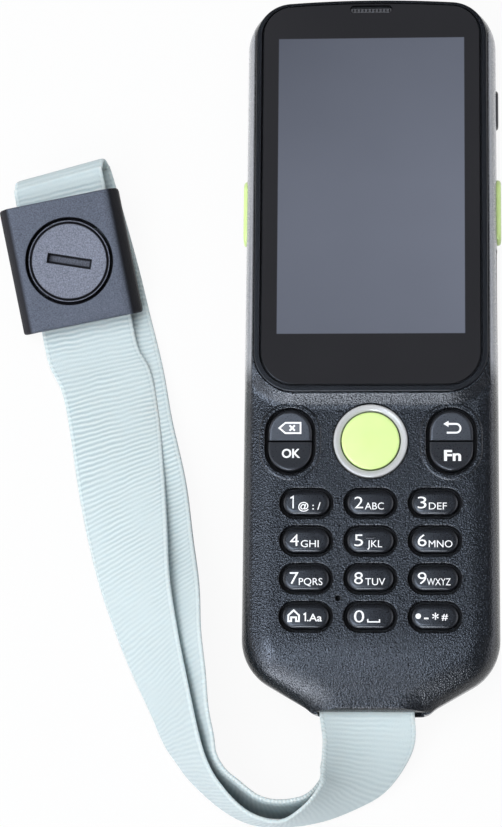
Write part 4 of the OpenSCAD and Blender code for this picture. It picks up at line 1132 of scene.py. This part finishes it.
lower_ply = [
    ((tape_left, ply_start, bar_z - eye_mid), (tape_right, ply_start, bar_z - eye_mid)),
    ((-12.5, -102, 13.5), (11, -102, 6)),
    ((-12, -106.5, 16.5), (8.5, -107, 3)),
    ((-12.5, -110.5, 19), (3.5, -111.5, 1)),
    ((-13, -114, 21), (1.5, -115, 1)),
    ((-16.5, -118, 24.5), (-8, -120, 1)),
    ((-22.5, -119.5, 25.5), (-19, -122.5, 1)),
    ((-28.5, -118.5, 25.5), (-28.5, -122.5, 1)),
    ((-34, -114.5, 25), (-37, -119, 1)),
    ((-37.5, -111.5, 25), (-44.5, -113, 1)),
    ((-40, -107.5, 24.5), (-48.2, -106, 1.5)),
    ((-40.8, -102.7, 24.5), (-50.5, -102.5, 2)),
    ((-42.2, -95.2, 25), (-53, -97.5, 2.8)),
    ((-43.0, -86, 25), (-55.5, -90.5, 4)),
    ((-44.4, -75.2, 24), (-58.3, -82.8, 5)),
    ((-45.3, -63.3, 20), (-62.5, -72, 4.5)),
    ((-47.5, -49.7, 13), (-68, -59.5, 2.2)),
    ((-50.2, -33, 7), (-73.2, -41.5, 1)),
    ((-54.4, -16.2, 3.5), (-78.3, -23.3, 1)),
    ((-57.5, -1, 1.6), (-81.5, -7.5, 1)),
]

loop_y, loop_radius = 21.3, 3.6


def from_lock(x, y, z):
    return lock_at + lock_turn @ Vector((x, y, z))


def across_lock(x, y, z, skew=0.0):
    """A station of the tape near the lock: its right and left edges."""
    return from_lock(x + tape_half, y + skew, z), from_lock(x - tape_half, y - skew, z)


def tape_stations():
    """The whole closed loop: under the lock, to the bar, round it, back and through the lock."""
    under = [across_lock(5.6, -18, -3.5), across_lock(5.0, -6, -6), across_lock(4.0, 8, -7),
        across_lock(2.8, loop_y, -2 * loop_radius, 0.85)]
    eye = []
    for step in range(1, 8):
        angle = math.radians(-90 + 180 * (step - 1) / 6)
        y, z = bar_y + eye_mid * math.cos(angle), bar_z + eye_mid * math.sin(angle)
        eye.append(((tape_left, y, z), (tape_right, y, z)))
    through = [across_lock(0.8, y, 0) for y in (-26, -13, 0, 10)]
    through.append(across_lock(0.8, loop_y, 0, 0.85))
    end = []
    for step in range(1, 6):
        angle = math.radians(90 - 180 * step / 6)
        end.append(across_lock(0.8 + 2.0 * step / 6, loop_y + loop_radius * math.cos(angle),
            loop_radius * (math.sin(angle) - 1), 0.85))
    loop = under[::-1] + lower_ply[::-1] + eye + upper_ply + through + end
    return [(Vector(one), Vector(two)) for one, two in loop]


def between(p, q, r, s, t):
    """A place on the smooth curve from q to r, a share t of the way."""
    bend = (2 * p - 5 * q + 4 * r - s) * t * t + (3 * q - p - 3 * r + s) * t ** 3
    return 0.5 * (2 * q + (r - p) * t + bend)


def tape_ring():
    """The tape's section, thinner at its edges: across from -1 to 1, and up, all round."""
    inner = (0.0, 0.2, 0.4, 0.6, 0.8, 0.93, 0.975, 1.0)
    top = []
    for place in [-share for share in inner[:0:-1]] + list(inner):
        edge = max(0.0, abs(place) - 0.93) / 0.07
        top.append((place, tape_thick / 2 * (1 - 0.55 * edge * edge)))
    return top + [(place, -thick) for place, thick in top[::-1]]


def make_strap():
    stations = tape_stations()
    count, cuts = len(stations), 12
    rows = []
    for index in range(count):
        four = [stations[(index + offset) % count] for offset in (-1, 0, 1, 2)]
        for cut in range(cuts):
            rows.append([between(*corner, cut / cuts) for corner in zip(*four)])
    middles = [(one + two) / 2 for one, two in rows]
    section = tape_ring()
    ring = len(section)
    corners, faces, maps = [], [], []
    along = 0.0
    for i, (one, two) in enumerate(rows):
        after = (i + 1) % len(rows)
        across = (one - two).normalized()
        up = across.cross(middles[after] - middles[i - 1]).normalized()
        corners += [middles[i] + across * tape_half * share + up * rise for share, rise in section]
        end = along + (middles[after] - middles[i]).length
        for k in range(ring):
            m = (k + 1) % ring
            faces.append((i * ring + k, after * ring + k, after * ring + m, i * ring + m))
            here, then = section[k][0] * tape_half, section[m][0] * tape_half
            maps += [(here, along), (here, end), (then, end), (then, along)]
        along = end
    strap = sheet_of("wrist_strap", corners, faces)
    for loop, place in zip(strap.data.uv_layers.new(name="tape").data, maps):
        loop.uv = place
    edited(strap, normals_make_consistent=outwards)
    dress(strap, "strap_upper_ply", "strap_lower_ply", "strap_eye", "strap_end_loop", smooth=60)
    print("strap length", round(along, 1))


# ---- strap lock ----


def into_lock(piece):
    piece.data.transform(Matrix.Translation(lock_at * MM) @ lock_turn)
    return piece


def make_lock():
    outline = lambda inset: rounded(lock_width - 2 * inset,
        lock_length + 1.0 - 0.6 * max(0, inset - 2.3), 0.7 - 0.14 * inset, steps=5)
    body = stack("lock_cover", outline, [(lock_low, 0), (1.7, 0), (2.4, 0.22), (3.6, 0.8),
        (5.0, 1.65), (5.9, 2.3), (6.3, 2.7), (6.6, 3.1), (6.8, 3.6), (6.88, 4.1), (6.9, 4.5)])
    well = stack("disc_well", disc(well_radius + 0.25), [(8, 0), (6.92, 0), (6.82, 0.12),
        (6.6, 0.22), (6.3, 0.25), (2.59, 0.251)])
    carve(body, block("tape_channel", (-13.5, -lock_length, -2), (13.5, lock_length, 0.9)),
        prism("clamp_room", rounded(24, 16, 1), 0, 2.6), well)
    dress(into_lock(body), "lock_body")
    eased("lock_base", 0.35, 3)
    eased("lock_clamp", 0.12, finish=finishes["trim"])
    face = stack("lock_knob", disc(11.1), [(2.6, 0), (3.7, 0), (3.7001, 0.7), (4.5, 0.701)])
    fused(face, stack("knob_head", disc(11.1), [(4.5, 0), (6.4, 0), (6.62, 0.04), (6.72, 0.1),
        (6.74, 0.17), (6.7, 0.24), (6.5, 0.3), (6.1, 0.33), (6.0, 0.55), (6.1, 0.84), (6.45, 0.91),
        (6.64, 0.99), (6.72, 1.1), (6.75, 4)]))
    slot = stack("coin_slot", rounded(11.9, 2.6, 0.25), [(7.5, 0), (6.72, 0), (6.6, 0.1),
        (5.4, 0.101)])
    carve(face, turned(slot, slot_turn, "Z"))
    dress(into_lock(face), "lock_disc", finish=finishes["lock_knob"])


# ---- the remaining parts ----


def make_small_parts():
    for node, width, segments in (("port_cover", 0.3, 3), ("battery_cover", 0.25, 2),
            ("scan_window_frame", 0.3, 3), ("scan_window", 0.12, 2), ("housing_screws", 0.12, 2),
            ("camera_window", 0.15, 2), ("flash_lens", 0.15, 2), ("strap_bar", 0.1, 2),
            ("usb_socket", 0.06, 1), ("battery_pack", 0.5, 3)):
        eased(node, width, segments, camera_glass if node == "camera_window" else None)
    middle = (camera_x, camera_y)
    iris = stack("camera_ring", disc(3.6, middle), [(0.32, 0), (0.24, 0), (0.2, 0.1), (0.2, 0.5)])
    carve(iris, prism("camera_hole", disc(2.7, middle), -1, 1))
    dress(iris, body="terminal", slot="ring_silver")


for node, part in frame["nodes"].items():
    part.data.materials.clear()
    part.data.materials.append(finishes[slot_of[node]])

make_front_housing()
make_rear_housing()
make_screen()
make_number_keys()
make_split_keys()
make_scan_key()
make_side_key("right_trigger", trigger_y, 18, 6.5, 1.1)
make_side_key("left_trigger", trigger_y, 18, 6.5, 0.85, -1)
make_side_key("power_button", power_y, 11, 4.4, 0.6)
make_strap()
make_lock()
make_small_parts()

# ---- table and lights ----

let_go()
bpy.ops.mesh.primitive_plane_add(size=6, location=(0, 0, 0))
table = bpy.context.object
table.name = "table"
table.data.materials.append(floor_finish())


def soft_light(name, place, width, height, power, colour):
    lamp = bpy.data.lights.new(name, "AREA")
    lamp.shape = "RECTANGLE"
    lamp.size, lamp.size_y = width, height
    lamp.energy = power
    lamp.color = colour
    light = placed(name, lamp)
    light.location = place
    light.rotation_euler = (-Vector(place)).to_track_quat("-Z", "Y").to_euler()
    light.visible_glossy = False


soft_light("top light", (-0.35, 0.05, 1.25), 0.9, 0.9, 12.5, (0.98, 0.99, 1.0))
soft_light("front left light", (-0.60, -0.95, 0.85), 0.9, 0.5, 8.0, (0.97, 0.98, 1.0))

soft_boxes = [
    ((-0.27, -0.12, 0.95), 120, (16.0, 19.0, 24.0)),
    ((-0.42, -0.33, 0.84), 110, (8.0, 9.2, 11.2)),
    ((-0.42, -0.66, 0.62), 60, (5.5, 6.0, 7.0)),
    ((-0.12, -0.84, 0.52), 100, (26.0, 28.0, 31.5)),
    ((-1.0, 0.05, 0.05), 7, (2.6, 2.65, 2.8)),
    ((1.0, 0.05, 0.05), 7, (2.8, 2.9, 3.2)),
]


def white_room():
    """Plain white to the camera, even for diffuse light, and for reflections a dim room with
    soft boxes: each has a direction, a sharpness and a colour."""
    world = bpy.data.worlds.new("white room")
    bpy.context.scene.world = world
    world.use_nodes = True
    room = Nodes(world.node_tree)
    towards = room.node("TexCoord", {}, "Generated")
    glow = (0.06, 0.067, 0.08)
    for direction, sharpness, colour in soft_boxes:
        facing = room.dot(towards, Vector(direction).normalized()).math("MAXIMUM", 0.0)
        scaled = {0: colour, "Scale": facing ** sharpness}
        patch = room.node("VectorMath", scaled, operation="SCALE")
        glow = room.math("ADD", patch, glow, kind="VectorMath")
    lit = room.node("Background", {"Color": (0.97, 0.985, 1.0), "Strength": 0.42})
    for ray, colour in (("Is Glossy Ray", glow), ("Is Camera Ray", (1.0, 1.0, 1.0))):
        seen = room.node("Background", {"Color": colour, "Strength": 1.0})
        chosen = room.node("LightPath", {}, ray)
        lit = room.node("MixShader", {0: chosen, 1: lit, 2: seen})
    room.node("OutputWorld", {"Surface": lit})


white_room()
bpy.context.scene.view_settings.view_transform = "Standard"

let_go()
bpy.context.view_layer.update()
